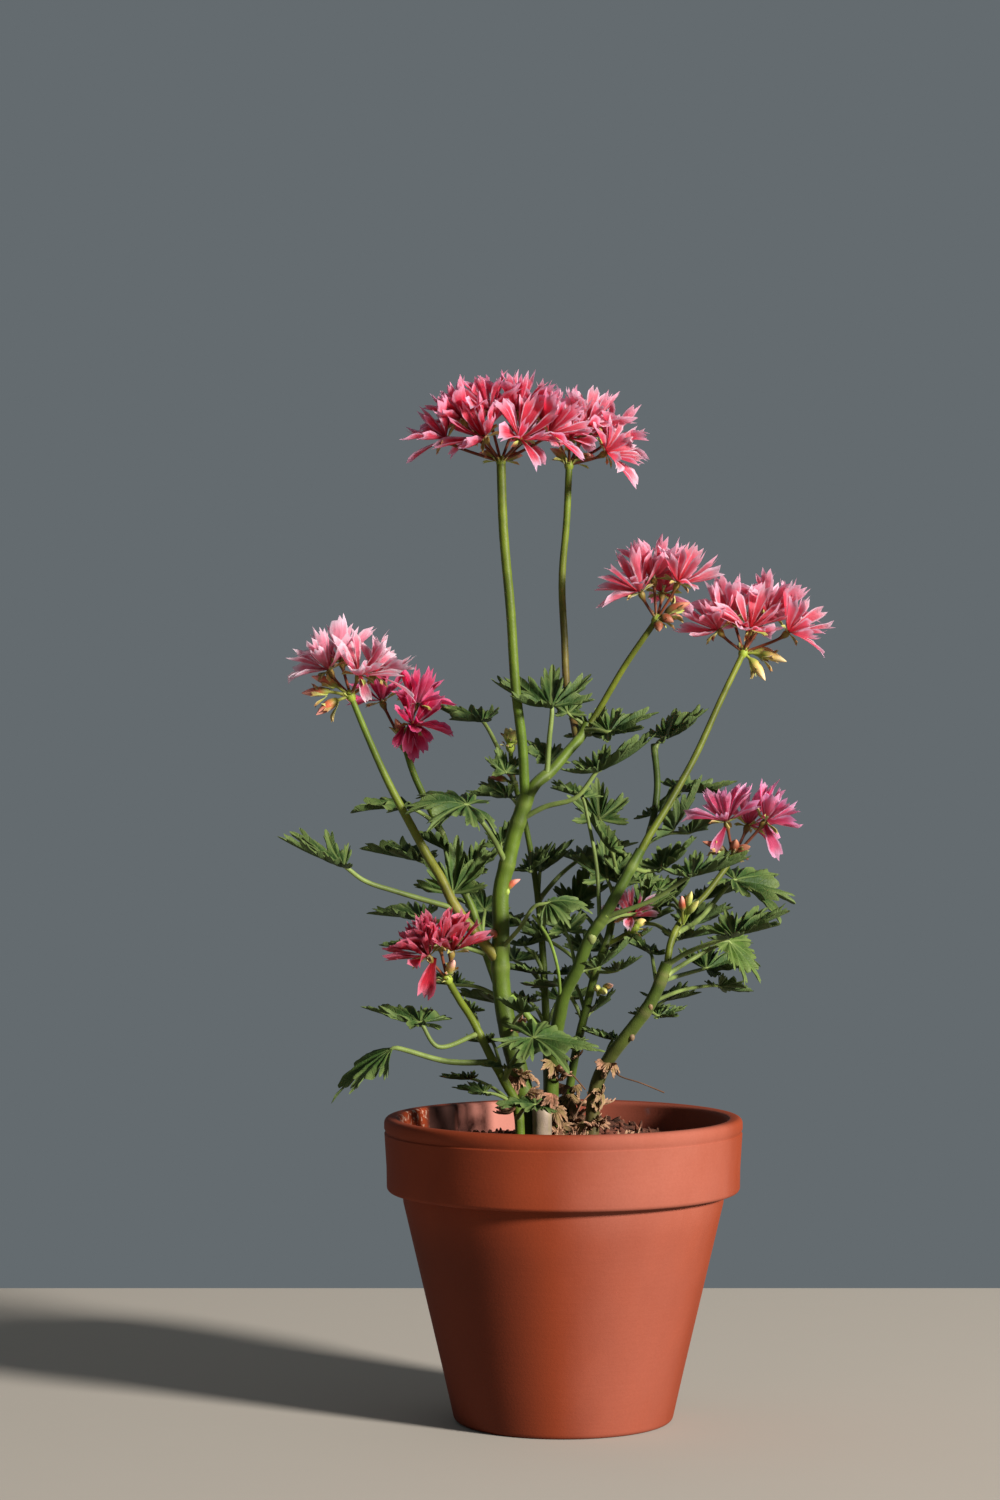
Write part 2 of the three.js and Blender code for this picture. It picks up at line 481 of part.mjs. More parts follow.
function soilSolid() {
  const floor = POT.floor + GAP;
  const foot = INNER.foot - GAP;
  const wallSlope = (INNER.mouth - INNER.step) / (POT.height - 2 - STEP_LEVEL);
  const edge = INNER.step - GAP + wallSlope * (SOIL.edgeHeight - STEP_LEVEL);
  const body = turned([
    [0, floor], [foot - FLOOR_FILLET, floor], [foot, floor + FLOOR_FILLET],
    [INNER.neck - GAP, NECK_LEVEL], [INNER.step - GAP, STEP_LEVEL], [edge, SOIL.edgeHeight],
    ...[...SOIL.rings].reverse().map((radius) => [radius, SOIL.edgeHeight]), [0, SOIL.edgeHeight],
  ]);
  const place = body.attributes.position;
  for (let index = 0; index < place.count; index += 1) {
    const radius = Math.hypot(place.getX(index), place.getY(index));
    if (Math.abs(place.getZ(index) - SOIL.edgeHeight) < 0.01 && radius < edge - 1) {
      place.setZ(index, SOIL.edgeHeight + soilRelief(place.getX(index), place.getY(index)));
    }
  }
  const standing = STRANDS.filter((item) => item.path[0][2] < SOIL.edgeHeight);
  const holes = standing.map((item) => strand({ ...item, radius: item.radius.map((size) => size + GAP) }));
  return toSolid(body).subtract(fuse(holes));
}

// ---- The whole plant in its pot ---------------------------------------------------------------
const plant = new THREE.Group();
plant.add(toMesh('pot', potSolid(), COLOURS.terracotta, 0.9));
plant.add(toMesh('soil', soilSolid(), COLOURS.soil, 1));
[...new Set(STRANDS.map((item) => item.node))].forEach((node) => {
  plant.add(toMesh(node, shoot(node), COLOURS.shoot, 0.7));
});
Object.entries(HEADS).forEach(([node, head]) => {
  plant.add(toMesh(node, flowerHead(head), COLOURS.flower, 0.6));
});

export default plant;
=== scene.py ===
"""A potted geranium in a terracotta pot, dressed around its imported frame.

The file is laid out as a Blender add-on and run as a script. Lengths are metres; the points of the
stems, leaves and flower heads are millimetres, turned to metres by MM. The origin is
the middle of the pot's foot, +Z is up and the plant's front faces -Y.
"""

import json
import math
from collections import namedtuple

import bmesh
import bpy
import numpy as np
from bpy.props import FloatProperty, FloatVectorProperty, IntProperty, PointerProperty
from mathutils import Matrix, Vector

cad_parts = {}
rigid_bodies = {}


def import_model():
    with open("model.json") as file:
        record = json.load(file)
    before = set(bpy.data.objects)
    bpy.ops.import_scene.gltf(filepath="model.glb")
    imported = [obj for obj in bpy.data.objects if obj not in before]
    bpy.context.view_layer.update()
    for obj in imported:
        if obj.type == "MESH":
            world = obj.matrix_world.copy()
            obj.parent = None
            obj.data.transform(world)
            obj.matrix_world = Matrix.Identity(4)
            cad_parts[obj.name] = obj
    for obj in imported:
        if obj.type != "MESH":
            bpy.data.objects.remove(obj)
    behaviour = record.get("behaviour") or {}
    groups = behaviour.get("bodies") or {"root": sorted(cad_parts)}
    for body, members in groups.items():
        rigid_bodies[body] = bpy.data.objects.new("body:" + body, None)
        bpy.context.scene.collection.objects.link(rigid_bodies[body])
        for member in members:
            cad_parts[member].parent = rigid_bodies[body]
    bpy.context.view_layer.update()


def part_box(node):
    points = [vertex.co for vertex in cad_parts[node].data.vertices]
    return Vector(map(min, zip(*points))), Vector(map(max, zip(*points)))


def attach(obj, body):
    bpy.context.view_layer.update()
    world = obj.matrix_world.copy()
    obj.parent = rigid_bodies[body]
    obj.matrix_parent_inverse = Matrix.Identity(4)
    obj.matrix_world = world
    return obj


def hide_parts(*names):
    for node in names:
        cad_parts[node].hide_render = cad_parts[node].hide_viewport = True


bl_info = {
    "name": "Potted Geranium",
    "version": (1, 0, 0),
    "blender": (4, 5, 0),
    "location": "3D View > Sidebar > Geranium",
    "description": "Builds a geranium with star-cut leaves and fringed flowers in a terracotta pot",
    "category": "Object",
}

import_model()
POT_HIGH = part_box("pot")[1]

MM = 0.001
SEED = 20318            # the one the solids' leaves and florets were drawn with


def paint(code):
    """A colour written as six hex digits, as the linear red, green and blue that Blender mixes."""
    shares = [int(code[place : place + 2], 16) / 255 for place in (0, 2, 4)]
    return tuple(s / 12.92 if s <= 0.04045 else ((s + 0.055) / 1.055) ** 2.4 for s in shares)


def paints(codes):
    return tuple(paint(code) for code in codes.split())


# ---- The plant's points: places and lengths in mm, angles in degrees --------------------------------
Stem = namedtuple("Stem", "bark foot_radius tip_radius path head", defaults=[None])
Leaf = namedtuple("Leaf", "stalk size heading pitch roll lobes curl fan sinus fold young",
                  defaults=[1, 0.38, 1, None])
Head = namedtuple("Head", "at petal lift tip colour bud florets buds hanging", defaults=[()])

# The stems of each shoot: bark, radius at the foot and at the tip, points from the foot to the tip, and
# the flower head at its tip if there is one
STEMS = {
    "stem_main": [
        Stem("sappy", 4.6, 3.1, [(-13, -5, 88), (-14, -5, 124), (-18, -6, 143), (-23, -8, 163),
             (-26, -9, 184), (-26, -10, 205), (-26, -10, 221), (-23, -10, 234), (-20, -10, 246),
             (-15, -10, 261)]),
        Stem("cut", 4.2, 4.0, [(-10, -12, 88), (-9, -12, 112), (-9, -13, 131)]),
        Stem("sappy", 2.6, 1.9, [(-17, -10, 256), (-12, -9, 265), (-5, -5, 271), (2, 0, 279), (8, 5, 286),
             (10, 6, 291)]),
        Stem("bright", 2.1, 1.9, [(-16, -10, 258), (-17, -12, 280), (-20, -14, 306), (-22, -14, 337),
             (-25, -13, 371), (-26, -12, 399)], "umbel_top"),
        Stem("dusk", 1.6, 1.5, [(6, 4, 284), (4, 14, 295), (2, 20, 305), (1, 26, 327), (0, 28, 352),
             (2, 28, 378), (3, 28, 401)], "umbel_top_back"),
        Stem("olive", 1.4, 1.25, [(8, 5, 285), (16, 6, 298), (26, 4, 315), (39, 0, 334)], "umbel_centre"),
        Stem("amber", 2.4, 1.2, [(-25, -9, 190), (-30, -11, 196), (-36, -14, 203), (-45, -16, 215),
             (-51, -16, 227), (-56, -14, 235), (-63, -14, 248), (-72, -16, 265), (-81, -18, 285),
             (-88, -20, 302)], "umbel_left"),
    ],
    "stem_front": [
        Stem("bright", 2.3, 1.4, [(-19, -17, 88), (-19, -17, 131), (-24, -20, 142), (-30, -22, 153),
             (-34, -22, 161), (-38, -23, 169), (-43, -27, 177), (-48, -31, 186)], "umbel_low_left"),
    ],
    "stem_right": [
        Stem("shade", 3.6, 2.1, [(-5, 8, 88), (-5, 7, 134), (-4, 3, 154), (-1.5, -2, 169), (0.5, -5, 178),
             (5.5, -8, 188), (11, -11, 202), (16.5, -12, 210), (22, -12, 220), (27, -11, 229),
             (32, -9, 238)]),
        Stem("olive", 1.6, 1.25, [(29, -10, 232), (35, -8, 243), (42, -4, 254), (55, 6, 276), (67, 16, 301),
             (77, 24, 321)], "umbel_right"),
    ],
    "stem_inner": [
        Stem("shade", 2.0, 1.4, [(0, 22, 88), (1, 22, 118), (5, 20, 148), (11, 18, 174), (15, 18, 189),
             (19, 19, 199), (23, 23, 216), (28, 27, 229), (36, 32, 240), (41, 40, 262), (40, 48, 282)]),
        Stem("olive", 1.1, 1.0, [(18, 19, 197), (24, 18, 200), (30, 15, 204)], "umbel_low_right"),
    ],
    "stem_outer": [
        Stem("woody", 3.3, 2.5, [(11, 5, 88), (12, 5, 118), (14, 4, 139), (19, 2, 150), (27, -2, 161),
             (35, -4, 172), (40, -5, 182), (43, -6, 191)]),
        Stem("olive", 1.5, 1.2, [(43, -6, 189), (45, -3, 200), (50, 2, 209), (60, 8, 219),
             (72, 16, 234)], "umbel_right_back"),
    ],
    "stem_left_back": [
        Stem("sappy", 2.1, 1.4, [(-11, 24, 88), (-13, 25, 122), (-18, 26, 148), (-24, 26, 169),
             (-33, 26, 195), (-39, 26, 214), (-47, 26, 229), (-50, 26, 241), (-56, 28, 254), (-63, 30, 269),
             (-67, 32, 281)], "umbel_left_back"),
    ],
    "stem_back": [
        Stem("sappy", 2.1, 1.0, [(-6, 36, 88), (-6, 37, 130), (-7, 38, 172), (-10, 40, 215), (-16, 36, 250),
             (-21, 30, 269), (-22, 26, 281)], "umbel_young"),
    ],
}

# The leaves of each shoot: points of the stalk, the blade's length, heading, pitch, roll, number of
# lobes and curl; then its share of the usual fan, how far out the cuts between the lobes reach, its
# share of the usual fold, and how young it looks
LEAVES = {
    "stem_main": [
        Leaf([(-7, -7, 268), (-6, -8, 283), (-5, -8, 298)], 31, 135, 16, -12, 7, 25),
        Leaf([(-24, -11, 233), (-31, -19, 246), (-40, -24, 257)], 30, 195, 8, -22, 7, -30, sinus=0.45,
             fold=0.6),
        Leaf([(-45, -16, 214), (-68, -22, 221), (-82, -28, 226), (-90, -32, 232)], 30, 187, 14, -12, 7, 30,
             fan=0.7),
        Leaf([(-44, -16, 214), (-47, -14, 217), (-46, -10, 220)], 27, 75, 58, 0, 5, 30, fan=0.75),
        Leaf([(-19, -10, 250), (-8, -13, 256), (5, -17, 260), (14, -19, 271)], 30, -15, 14, 10, 7, 22),
        Leaf([(9, 5, 288), (14, 0, 288), (19, -3, 287)], 22, 10, 18, 20, 5, 15),
        Leaf([(9, 6, 290), (5, 5, 293), (2, 4, 295)], 12, 110, 50, 0, 5, 20),
        Leaf([(-25, -11, 198), (-18, -27, 207), (-12, -34, 216), (-7, -35, 217)], 20, -5, 15, 20, 5, -75,
             sinus=0.62, fold=0.35),
    ],
    "stem_front": [
        Leaf([(-25, -20, 143), (-20, -34, 154), (-13, -46, 163)], 30, -10, -8, 14, 7, -28, sinus=0.6,
             fold=0.4),
        Leaf([(-35, -22, 163), (-52, -28, 158), (-59, -30, 168)], 25, 172, 6, -8, 7, 12),
        Leaf([(-29, -22, 151), (-48, -29, 152), (-70, -34, 158)], 35, 192, -32, -8, 5, -30, fan=0.5,
             sinus=0.6, fold=0.5),
        Leaf([(-19, -18, 128), (-16, -30, 133), (-12, -38, 135)], 18, 200, 4, -5, 5, -10, sinus=0.6,
             fold=0.4),
        Leaf([(-21, -18, 134), (-28, -24, 138), (-33, -27, 139)], 13, 180, 5, -15, 5, 10),
    ],
    "stem_right": [
        Leaf([(16.5, -12, 210), (37, -20, 218), (52, -26, 228)], 27, -8, 4, 6, 7, 18),
        Leaf([(15, -11, 208), (14, -2, 230), (11, 5, 248), (8, 8, 260)], 18, 150, 15, 0, 5, 20),
        Leaf([(28, -10, 231), (34, -4, 229), (41, 2, 230)], 22, 15, 32, 8, 5, 15),
    ],
    "stem_inner": [
        Leaf([(38, 34, 246), (43, 28, 245), (47, 24, 246)], 27, -20, 45, 10, 5, 20),
        Leaf([(22, 22, 213), (21, 20, 220), (19, 20, 225)], 21, 100, 58, 0, 5, 15),
        Leaf([(40, 47, 279), (42, 48, 283), (45, 48, 285)], 24, 8, 24, 12, 5, 15),
        Leaf([(14, 18, 186), (19, 12, 186), (23, 8, 187)], 14, -30, 20, 0, 5, 15),
        Leaf([(36, 33, 241), (46, 44, 254), (52, 50, 262)], 25, 15, -5, 8, 5, 15),
    ],
    "stem_outer": [
        Leaf([(43, -6, 190), (52, -12, 196), (70, -17, 203)], 28, 0, 18, 10, 7, 20),
        Leaf([(43, -6, 186), (56, 5, 193), (70, 11, 199)], 25, 5, -48, 30, 7, -15, fan=0.75, sinus=0.5,
             fold=0.5, young=1),
        Leaf([(47, -1, 203), (58, 20, 208), (74, 36, 224)], 32, 8, -18, 20, 7, -15),
        Leaf([(34, -4, 171), (37, 2, 170), (40, 5, 168)], 13, 10, 5, 10, 5, 15),
        Leaf([(40, -5, 183), (50, 22, 184), (62, 38, 186)], 26, 30, 5, 15, 5, 15),
    ],
    "stem_left_back": [
        Leaf([(-51, 26, 244), (-57, 21, 251), (-64, 17, 255)], 26, 190, 0, -5, 5, -10),
        Leaf([(-44, 26, 224), (-52, 20, 229), (-60, 14, 233)], 29, 182, 6, -6, 5, 12),
        Leaf([(-34, 26, 198), (-33, 42, 200), (-28, 48, 203)], 26, 115, 5, 0, 5, 18),
        Leaf([(-38, 26, 211), (-50, 40, 206), (-60, 46, 207)], 25, 175, 0, -10, 5, 15),
    ],
    "stem_back": [
        Leaf([(-20, 30, 265), (-27, 36, 280), (-34, 40, 292)], 26, 172, 2, -8, 5, 15),
        Leaf([(-18, 34, 255), (-21, 26, 259), (-23, 20, 260)], 19, 190, 0, -15, 5, 10),
        Leaf([(-12, 39, 232), (-13, 28, 228), (-14, 18, 229)], 16, 20, 30, 0, 5, 20),
        Leaf([(-10, 40, 215), (0, 49, 226), (8, 53, 232)], 26, 12, 10, 0, 5, 18),
        Leaf([(-7, 38, 160), (-15, 48, 166), (-22, 53, 169)], 26, 170, 5, 0, 5, 18),
    ],
}
# Small leaves between them: the blade's foot in mm, its length, heading, pitch, roll and curl
SMALL_LEAVES = {
    "stem_main": [((-17, -24, 172), 14, 205, 20, 10, 15), ((-26, 4, 240), 14, 60, 40, 0, 15),
        ((12, 16, 286), 18, 60, 35, 0, 20), ((-6, 14, 275), 16, 130, 30, 0, 15)],
    "stem_front": [((-38, -6, 171), 14, 190, 28, 10, 15), ((-30, -2, 158), 15, 165, -12, 10, 12),
        ((-39, 4, 142), 14, 185, -10, 0, 12), ((-24, -34, 150), 13, 250, -5, 0, 12)],
    "stem_right": [((14, -2, 189), 20, 5, 22, -10, 15), ((33, 12, 211), 20, 70, 48, 0, 20),
        ((1, 2, 204), 15, 110, 50, 0, 15), ((-1, -10, 157), 14, -60, 10, 0, 12)],
    "stem_inner": [((-7, 30, 199), 20, 170, 12, 0, 15), ((-1, 20, 180), 18, 200, -12, 10, 12),
        ((12, 26, 168), 16, -20, 30, 0, 12), ((30, 22, 224), 21, 130, 38, 0, 20),
        ((20, 8, 238), 20, 165, 42, 0, 20), ((16, 32, 250), 20, 95, 50, 0, 20),
        ((40, 46, 252), 20, 25, 28, -10, 15), ((55, 42, 244), 18, 0, 18, -10, 12),
        ((6, 36, 213), 20, 60, 42, 0, 20), ((12, 48, 193), 18, 80, 20, 0, 15),
        ((24, 30, 196), 18, -10, 10, 0, 15), ((3, 30, 184), 17, 30, 10, 0, 12)],
    "stem_outer": [((45, 28, 214), 20, 25, 38, -10, 20), ((37, 14, 194), 17, 150, 20, 10, 15),
        ((55, 34, 205), 22, -10, 18, -15, 15), ((60, 42, 215), 23, 20, 8, -10, 15),
        ((33, 16, 168), 16, 10, 0, -10, 12), ((67, 30, 179), 17, 15, -25, -15, 12),
        ((21, 10, 158), 15, 160, 5, 0, 12), ((45, 44, 172), 18, 50, 5, 0, 15),
        ((33, 26, 206), 20, 40, 20, 0, 15), ((50, 30, 199), 20, 10, 5, 0, 15),
        ((41, 24, 220), 19, 120, 20, 0, 15)],
    "stem_left_back": [((-39, 16, 229), 19, 60, 38, 0, 20), ((-48, 12, 237), 19, 170, 20, 10, 15),
        ((-61, 8, 198), 18, 190, -18, 10, 12), ((-33, 34, 211), 18, 120, 30, 0, 15),
        ((-46, 36, 179), 18, 150, 5, 0, 15), ((-38, 30, 196), 17, 160, 10, 0, 15)],
    "stem_back": [((-14, 36, 172), 18, 185, 5, 0, 12), ((-24, 14, 270), 14, 120, 40, 0, 15),
        ((-9, 40, 228), 20, 30, 30, 0, 15), ((-20, 60, 188), 20, 100, 5, 0, 15),
        ((0, 64, 171), 20, 70, 5, 0, 15), ((-16, 34, 196), 18, 20, 10, 0, 12),
        ((-11, 36, 184), 18, 200, 5, 0, 12)],
}
# Dead leaves at the foot of the stems, given as the small leaves are
DEAD_LEAVES = {
    "stem_main": [((-20, -12, 166), 9, -20, -30, 60, 80), ((-19, -9, 145), 11, 200, -40, -40, -70),
        ((-6, -16, 115), 11, 300, 12, 0, 60)],
    "stem_front": [((-20, -19, 132), 10, 190, -50, 30, 75), ((-32, -18, 114), 12, 200, 8, 0, 60)],
    "stem_right": [((-4, 4, 130), 11, 310, -50, 20, -70), ((-3, 2, 147), 9, 330, -60, -30, 80),
        ((4, -10, 115), 12, 280, 10, 15, 50)],
    "stem_inner": [((3, 18, 134), 12, 300, -50, 0, -70), ((2, 19, 124), 12, 340, -30, 20, 70)],
    "stem_outer": [((14, 2, 124), 11, 280, -40, 20, 75), ((15, 2, 138), 10, 320, -50, -20, -75),
        ((19, -1, 149), 9, 250, -70, 0, 70), ((24, -3, 115), 12, 20, 8, 10, 60),
        ((13, 6, 132), 12, 60, -30, 20, 60)],
    "stem_back": [((-7, 34, 134), 12, 240, -40, 0, -60)],
}
# Young buds: foot and tip in mm, and colour
YOUNG_BUDS = {
    "stem_main": [((-25, -10, 220), (-18, -12, 226), "orange"),
        ((-27, -10, 200), (-31, -16, 205), "orange")],
    "stem_inner": [((15, 17, 176), (14, 4, 180), "lime"), ((15, 17, 176), (18, 3, 178), "lime"),
        ((15, 17, 176), (21, 5, 181), "green")],
    "stem_outer": [((50, -2, 207), (53, -12, 221), "lime"), ((50, -2, 207), (49, -11, 219), "orange"),
        ((50, -2, 207), (56, -10, 217), "lime")],
    "stem_back": [((-19, 32, 264), (-24, 23, 272), "orange"), ((-19, 32, 264), (-31, 26, 268), "orange")],
}
# Bare stalks: colour, radius and points in mm
BARE_STALKS = {
    "stem_main": [("green", 1.6, [(-22, -9, 177), (-19, -10, 174), (-14, -10, 168), (-10, -9, 162)])],
    "stem_right": [("dry", 0.3, [(-4, 4, 142), (2, -10, 146), (9, -14, 139)]),
        ("green", 0.7, [(-1, -2, 172), (-2.5, -14, 189), (-6, -22, 201), (-10, -28, 208), (-13, -31, 212)])],
    "stem_outer": [("dry", 0.3, [(19, 2, 149), (23, -3, 144), (32, -5, 141), (42, -6, 137)]),
        ("dry", 0.3, [(14, 4, 138), (8, -6, 133), (4, -12, 126)])],
}
# Leaf scars: place on the stem's skin and radius in mm, and colour
SCARS = {
    "stem_main": [((-23.5, -11.5, 221), 1.2, "green")],
    "stem_front": [((-26, -22, 146), 1.0, "green")],
    "stem_right": [((11.6, -12, 202), 2.1, "pale"), ((17.5, -13.5, 211), 1.1, "green"),
        ((-3, -1, 173), 1.1, "green")],
    "stem_outer": [((36.2, -6, 173), 1.2, "pink"), ((28.6, -4, 160), 1.2, "pink"),
        ((17, 0, 144), 1.3, "pink")],
}

# The flower heads: where the flower stalks meet, the petals' length, how far the florets are turned up
# and how far down again at the front, the petals' and the buds' colours, then from the meeting place
# the middles of the florets, the tips of the buds, and root and tip of each limp petal
HEADS = {
    "umbel_top": Head((-26, -12, 399), 17.5, 0.5, -0.35, "coral", "green",
        [(-7, -9, 10), (8, -10, 9), (20, -4, 12), (-23, -2, 10), (-16, -2, 18), (-5, -3, 21.5),
         (7, 1, 21.5), (17, 4, 18), (-9, 10, 12), (9, 12, 12)],
        [(-9, 3, 4), (9, 4, 3)]),
    "umbel_top_back": Head((3, 28, 401), 17, 0.45, -0.3, "rose", "green",
        [(16, -6, 5), (17, 7, 12), (8, -3, 17), (0, -9, 11), (-6, 4, 16), (5, 11, 13)],
        [(11, 1, 4), (-8, 0, 7)]),
    "umbel_centre": Head((39, 0, 334), 18, 0.3, -0.1, "rose", "rust",
        [(-7, -3, 12), (-1, 3, 18), (9, -3, 16), (3, 9, 12)],
        [(14, -2, 7), (1, -3, -5), (7, -3, -1), (11, 2, 1)]),
    "umbel_right": Head((77, 24, 321), 18, 0.45, -0.25, "rose", "cream",
        [(-11, -4, 10), (2, -9, 10), (19, -4, 9), (-4, 4, 16), (10, 3, 17), (5, 11, 12)],
        [(9, -3, -12), (18, -4, -4), (15, 2, -1)]),
    "umbel_left": Head((-88, -20, 302), 17, 0.35, -0.25, "pale", "orange",
        [(4, -8, 9), (10, 0, 9), (-9, -1, 11), (-4, 6, 15)],
        [(-16, -3, 8), (-20, -4, 1), (-14, -5, -8)],
        [((4, -9, 9), (8, -14, -3))]),
    "umbel_left_back": Head((-67, 32, 281), 15, 0.2, -0.5, "magenta", "rust",
        [(-10, 0, 20), (5, -3, 19), (4, -6, 10)],
        [(-4, -4, 12)],
        [((2, -5, 10), (1, -8, -4)), ((4, -5, 10), (8, -8, -3)), ((3, -7, 9), (4, -9, -7)),
         ((0, -4, 9), (-5, -6, -2)), ((5, -4, 10), (12, -6, 2))]),
    "umbel_right_back": Head((72, 16, 234), 16, 0.1, -0.4, "pink", "rust",
        [(-3, -3, 16), (14, 0, 16), (7, 7, 14)],
        [(-13, -3, 7), (7, -5, 5), (1, -6, 8)],
        [((13, -1, 15), (20, -3, -1)), ((-3, -3, 14), (-9, -5, 2))]),
    "umbel_low_left": Head((-48, -31, 186), 15, 0.35, -0.2, "red", "green",
        [(-8, -6, 10), (-3, -4, 15), (2, -3, 12), (-9, 3, 11)],
        [(3, -7, 8)],
        [((-5, -5, 9), (-10, -8, -8))]),
    "umbel_low_right": Head((30, 15, 204), 11, 0.1, 0, "rose", "cream",
        [(-1, -5, 6)],
        [(6, 4, 3)]),
    "umbel_young": Head((-22, 26, 281), 0, 0, 0, "coral", "lime",
        [],
        [(2, -4, 7), (-2, -3, 8), (0, 3, 8), (4, 1, 5)]),
}

# ---- Colours of what isn't set in the panel ---------------------------------------------------------
BARKS = {  # at the foot, at the tip and at the joints
    "sappy": paints("465618 50641a 788644"),
    "shade": paints("465818 3e5018 7e8c48"),
    "bright": paints("4a6016 5a6618 828e44"),
    "dusk": paints("5e4a24 5a6c1a 848840"),
    "olive": paints("545e16 646c1e 848840"),
    "amber": paints("6a6424 566a1e 888048"),
    "woody": paints("4c3a28 4a5c1e 8a7c5a"),
    "cut": paints("5a4a40 a08c80 b4a294"),
}
PETIOLE_COLOURS = paints("62723a 708046 8c9860")  # at the foot, at the blade and at the joint
SCAR_COLOURS = {"pale": paint("7a824e"), "green": paint("8ea04c"), "pink": paint("8c7058")}
BARE_COLOURS = {"dry": paint("6e4c38"), "green": paint("728a3c")}
PEDICEL_COLOURS = paints("6a341f 847236")  # along the stalk, and at its foot and its calyx
BUD_COLOURS = {  # at the foot, in the middle and at the tip
    "orange": paints("7a7e36 b85c42 e49a92"),
    "rust": paints("5a5628 84402a b87864"),
    "cream": paints("848c3c c0a464 e8cca0"),
    "green": paints("8a9840 a88850 ecb0a8"),
    "lime": paints("849638 aab05c ccc47c"),
}
PETAL_COLOURS = {  # root, middle, rim, back
    "coral": paints("cc0a28 ff3a62 ffeaff f4608c"),
    "red": paints("b40616 ee3450 ffb0cc d83c5c"),
    "rose": paints("ee2a3e ff7c94 fff2ff ffa0c4"),
    "pale": paints("d8243c ff92b0 fff8ff ffd4ec"),
    "magenta": paints("b80c3c f42a6e ff9ccc f67cb4"),
    "pink": paints("d42c58 ff70a4 ffdcf8 ffa4cc"),
}


# ---- Settings: what a user would change -------------------------------------------------------------
class PotSettings(bpy.types.PropertyGroup):
    height: FloatProperty(
        name="Height", description="From the foot to the lip", default=POT_HIGH.z, min=0.05,
        unit="LENGTH", precision=4)
    rim_radius: FloatProperty(
        name="Rim radius", description="Outer radius of the rim band", default=POT_HIGH.x, min=0.03,
        unit="LENGTH", precision=4)
    band_height: FloatProperty(
        name="Band height", description="Height of the rim band", default=0.031, min=0.005,
        unit="LENGTH", precision=4)
    foot_radius: FloatProperty(
        name="Foot radius", description="Outer radius of the foot", default=0.046, min=0.01,
        unit="LENGTH", precision=4)
    wall: FloatProperty(
        name="Wall", description="Thickness of the clay", default=0.0065, min=0.002,
        unit="LENGTH", precision=4)
    turns: IntProperty(
        name="Turns", description="Faces round the pot", default=144, min=24, max=400)
    clay: FloatVectorProperty(
        name="Clay", description="Colour of the fired clay", subtype="COLOR", size=3,
        default=paint("7b3116"), min=0, max=1)
    clay_dark: FloatVectorProperty(
        name="Damp clay", description="Colour of the darker patches", subtype="COLOR", size=3,
        default=paint("662612"), min=0, max=1)
    # This colour also serves as the painted sheen on the side of the pot that faces the light.
    clay_bloom_and_sheen: FloatVectorProperty(
        name="Mineral bloom", description="Colour of the dry mineral bloom", subtype="COLOR", size=3,
        default=paint("965a4c"), min=0, max=1)


class SoilSettings(bpy.types.PropertyGroup):
    level: FloatProperty(
        name="Level", description="Height of the soil at the pot's wall", default=0.1105, min=0.02,
        unit="LENGTH", precision=4)
    relief: FloatProperty(
        name="Relief", description="Height of the lumps", default=0.0009, min=0, unit="LENGTH",
        precision=4)
    crumb_size: FloatProperty(
        name="Crumb size", description="Mean radius of a crumb", default=0.0013, min=0.0002,
        unit="LENGTH", precision=4)
    crumb_distance: FloatProperty(
        name="Crumb distance", description="Least distance between crumbs", default=0.0026, min=0.001,
        unit="LENGTH", precision=4)
    dark: FloatVectorProperty(
        name="Dark soil", description="Colour of the damp soil", subtype="COLOR", size=3,
        default=paint("2e211b"), min=0, max=1)
    light: FloatVectorProperty(
        name="Dry soil", description="Colour of the dry crumbs", subtype="COLOR", size=3,
        default=paint("6c4334"), min=0, max=1)


class ShootSettings(bpy.types.PropertyGroup):
    stem_sides: IntProperty(
        name="Stem sides", description="Faces round a stem", default=14, min=6, max=48)
    stem_step: FloatProperty(
        name="Stem step", description="Distance between rings of faces", default=0.0012, min=0.0004,
        unit="LENGTH", precision=4)
    joint_swelling: FloatProperty(
        name="Joint swelling", description="How much a stem thickens at a joint", default=0.09, min=0,
        max=1, subtype="FACTOR")
    blade_thickness: FloatProperty(
        name="Blade thickness", description="Thickness of a leaf", default=0.00045, min=0.0001,
        unit="LENGTH", precision=5)
    leaf: FloatVectorProperty(
        name="Leaf", description="Colour of a leaf's upper side", subtype="COLOR", size=3,
        default=paint("2c4520"), min=0, max=1)
    leaf_young: FloatVectorProperty(
        name="Young leaf", description="Colour of a young leaf", subtype="COLOR", size=3,
        default=paint("4a6426"), min=0, max=1)
    leaf_under: FloatVectorProperty(
        name="Leaf underside", description="Colour of a leaf's underside", subtype="COLOR", size=3,
        default=paint("4a5c38"), min=0, max=1)
    # This colour also serves as the painted highlight along a leaf's lit edge.
    vein: FloatVectorProperty(
        name="Vein", description="Colour of the veins and the leaf's rim", subtype="COLOR", size=3,
        default=paint("6a7a44"), min=0, max=1)


class FlowerSettings(bpy.types.PropertyGroup):
    petal_thickness: FloatProperty(
        name="Petal thickness", description="Thickness of a petal at its middle", default=0.0003,
        min=0.0001, unit="LENGTH", precision=5)
    outer_petals: IntProperty(
        name="Outer petals", description="Petals in a floret's outer ring", default=5, min=3, max=8)
    inner_petals: IntProperty(
        name="Inner petals", description="Petals in a floret's inner ring", default=7, min=0, max=10)
    pedicel_radius: FloatProperty(
        name="Flower stalk radius", description="Radius of a floret's stalk", default=0.00063,
        min=0.0002, unit="LENGTH", precision=5)


